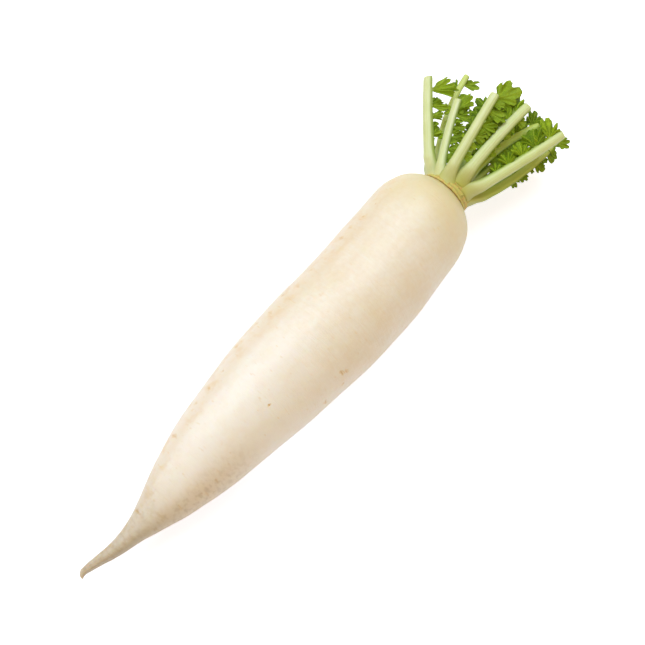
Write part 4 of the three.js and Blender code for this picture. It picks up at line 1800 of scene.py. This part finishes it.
def stand(item: bpy.types.Object, target: tuple[float, ...], away: Vector, distance: float) -> None:
    """Stands a lamp or a camera away from a target, facing it, and puts it in the scene.

    Args:
        item: the lamp or camera.
        target: the point that it faces, in metres.
        away: the direction from the target to it.
        distance: its distance, in metres.
    """
    item.location = Vector(target) + away * distance
    item.rotation_euler = (-away).to_track_quat("-Z", "Y").to_euler()
    bpy.context.scene.collection.objects.link(item)


@dataclass(frozen=True)
class SoftLamp:
    """A large square lamp that faces the radish, with its direction, its power in watts and its colour."""

    name: str
    direction: tuple[float, float, float]
    power: float
    colour: tuple[float, float, float]
    size: float = 1.1
    distance: float = 1.6

    def build(self) -> None:
        """Makes the lamp."""
        data = bpy.data.lights.new(self.name, "AREA")
        data.energy = self.power
        data.color = self.colour
        data.size = self.size
        away = Vector(self.direction).normalized()
        stand(bpy.data.objects.new(self.name, data), (0, 0, 0), away, self.distance)


@dataclass
class Studio:
    """A pale floor under soft light from the upper left, and the camera over it."""

    floor_size: float = 8.0
    sky_strength: float = 0.58
    sky_colour: Colour = (1.0, 0.7, 0.33, 1.0)
    seen_sky_colour: Colour = (1.6, 1.6, 1.62, 1.0)
    lamps: tuple[SoftLamp, ...] = (
        SoftLamp("key_lamp", (-0.176, 0.465, 0.868), 10.0, (0.78, 0.94, 1.15)),
        SoftLamp("side_lamp", (0.42, 0.129, 0.898), 10.0, (0.76, 1.02, 1.28)),
    )
    azimuth: float = -48.3
    elevation: float = 70.0
    distance: float = 1.03
    target: tuple[float, float, float] = (0.01327, 0.01234, 0.0)
    lens: float = 85.0
    sensor_width: float = 36.0

    def build(self, effects: SkinEffects) -> None:
        """Makes the camera, the floor and the light.

        Args:
            effects: the shared node groups.
        """
        self._make_camera()
        self._make_floor(effects)
        self._make_light()

    def _make_camera(self) -> None:
        """Makes the camera and makes it the scene's own."""
        data = bpy.data.cameras.new("camera")
        data.lens = self.lens
        data.sensor_width = self.sensor_width
        camera = bpy.data.objects.new("camera", data)
        turn, lift = math.radians(self.azimuth), math.radians(self.elevation)
        back = Vector((math.sin(turn) * math.cos(lift), -math.cos(turn) * math.cos(lift), math.sin(lift)))
        stand(camera, self.target, back, self.distance)
        bpy.context.scene.camera = camera

    def _make_floor(self, effects: SkinEffects) -> None:
        """Makes the floor, a plain square.

        Args:
            effects: the shared node groups.
        """
        half = self.floor_size / 2
        mesh = bpy.data.meshes.new("floor")
        corners = [(-half, -half, 0), (half, -half, 0), (half, half, 0), (-half, half, 0)]
        mesh.from_pydata(corners, [], [(0, 1, 2, 3)])
        mesh.materials.append(FloorPaper().material(effects))
        floor = bpy.data.objects.new("floor", mesh)
        bpy.context.scene.collection.objects.link(floor)

    def _make_light(self) -> None:
        """Makes the sky, which is white where the camera looks straight at it, and the soft lamps."""
        world = bpy.data.worlds.new("studio_sky")
        world.use_nodes = True
        shade = Shade(world.node_tree)
        seen = shade.node("ShaderNodeLightPath").outputs["Is Camera Ray"]
        sky = world.node_tree.nodes["Background"]
        shade.feed(sky.inputs["Color"], shade.lay(seen, self.sky_colour, self.seen_sky_colour))
        shade.feed(sky.inputs["Strength"], self.sky_strength)
        bpy.context.scene.world = world
        bpy.context.scene.view_settings.view_transform = "Standard"
        for lamp in self.lamps:
            lamp.build()


def main() -> None:
    """Builds the studio and every piece of the radish, and reports each."""
    logging.basicConfig(level=logging.INFO, format="%(name)s: %(message)s")
    effects = SkinEffects()
    Studio().build(effects)
    pieces = [Taproot().build(effects), Crown().build(effects)]
    skin, blade = StalkSkin().material(effects), LeafBlade().material(effects)
    for stalk in STALKS:
        pieces += stalk.build(skin, blade)
    for piece in pieces:
        LOG.info("%s: %d faces", piece.name, len(piece.data.polygons))


if __name__ == "__main__":
    main()
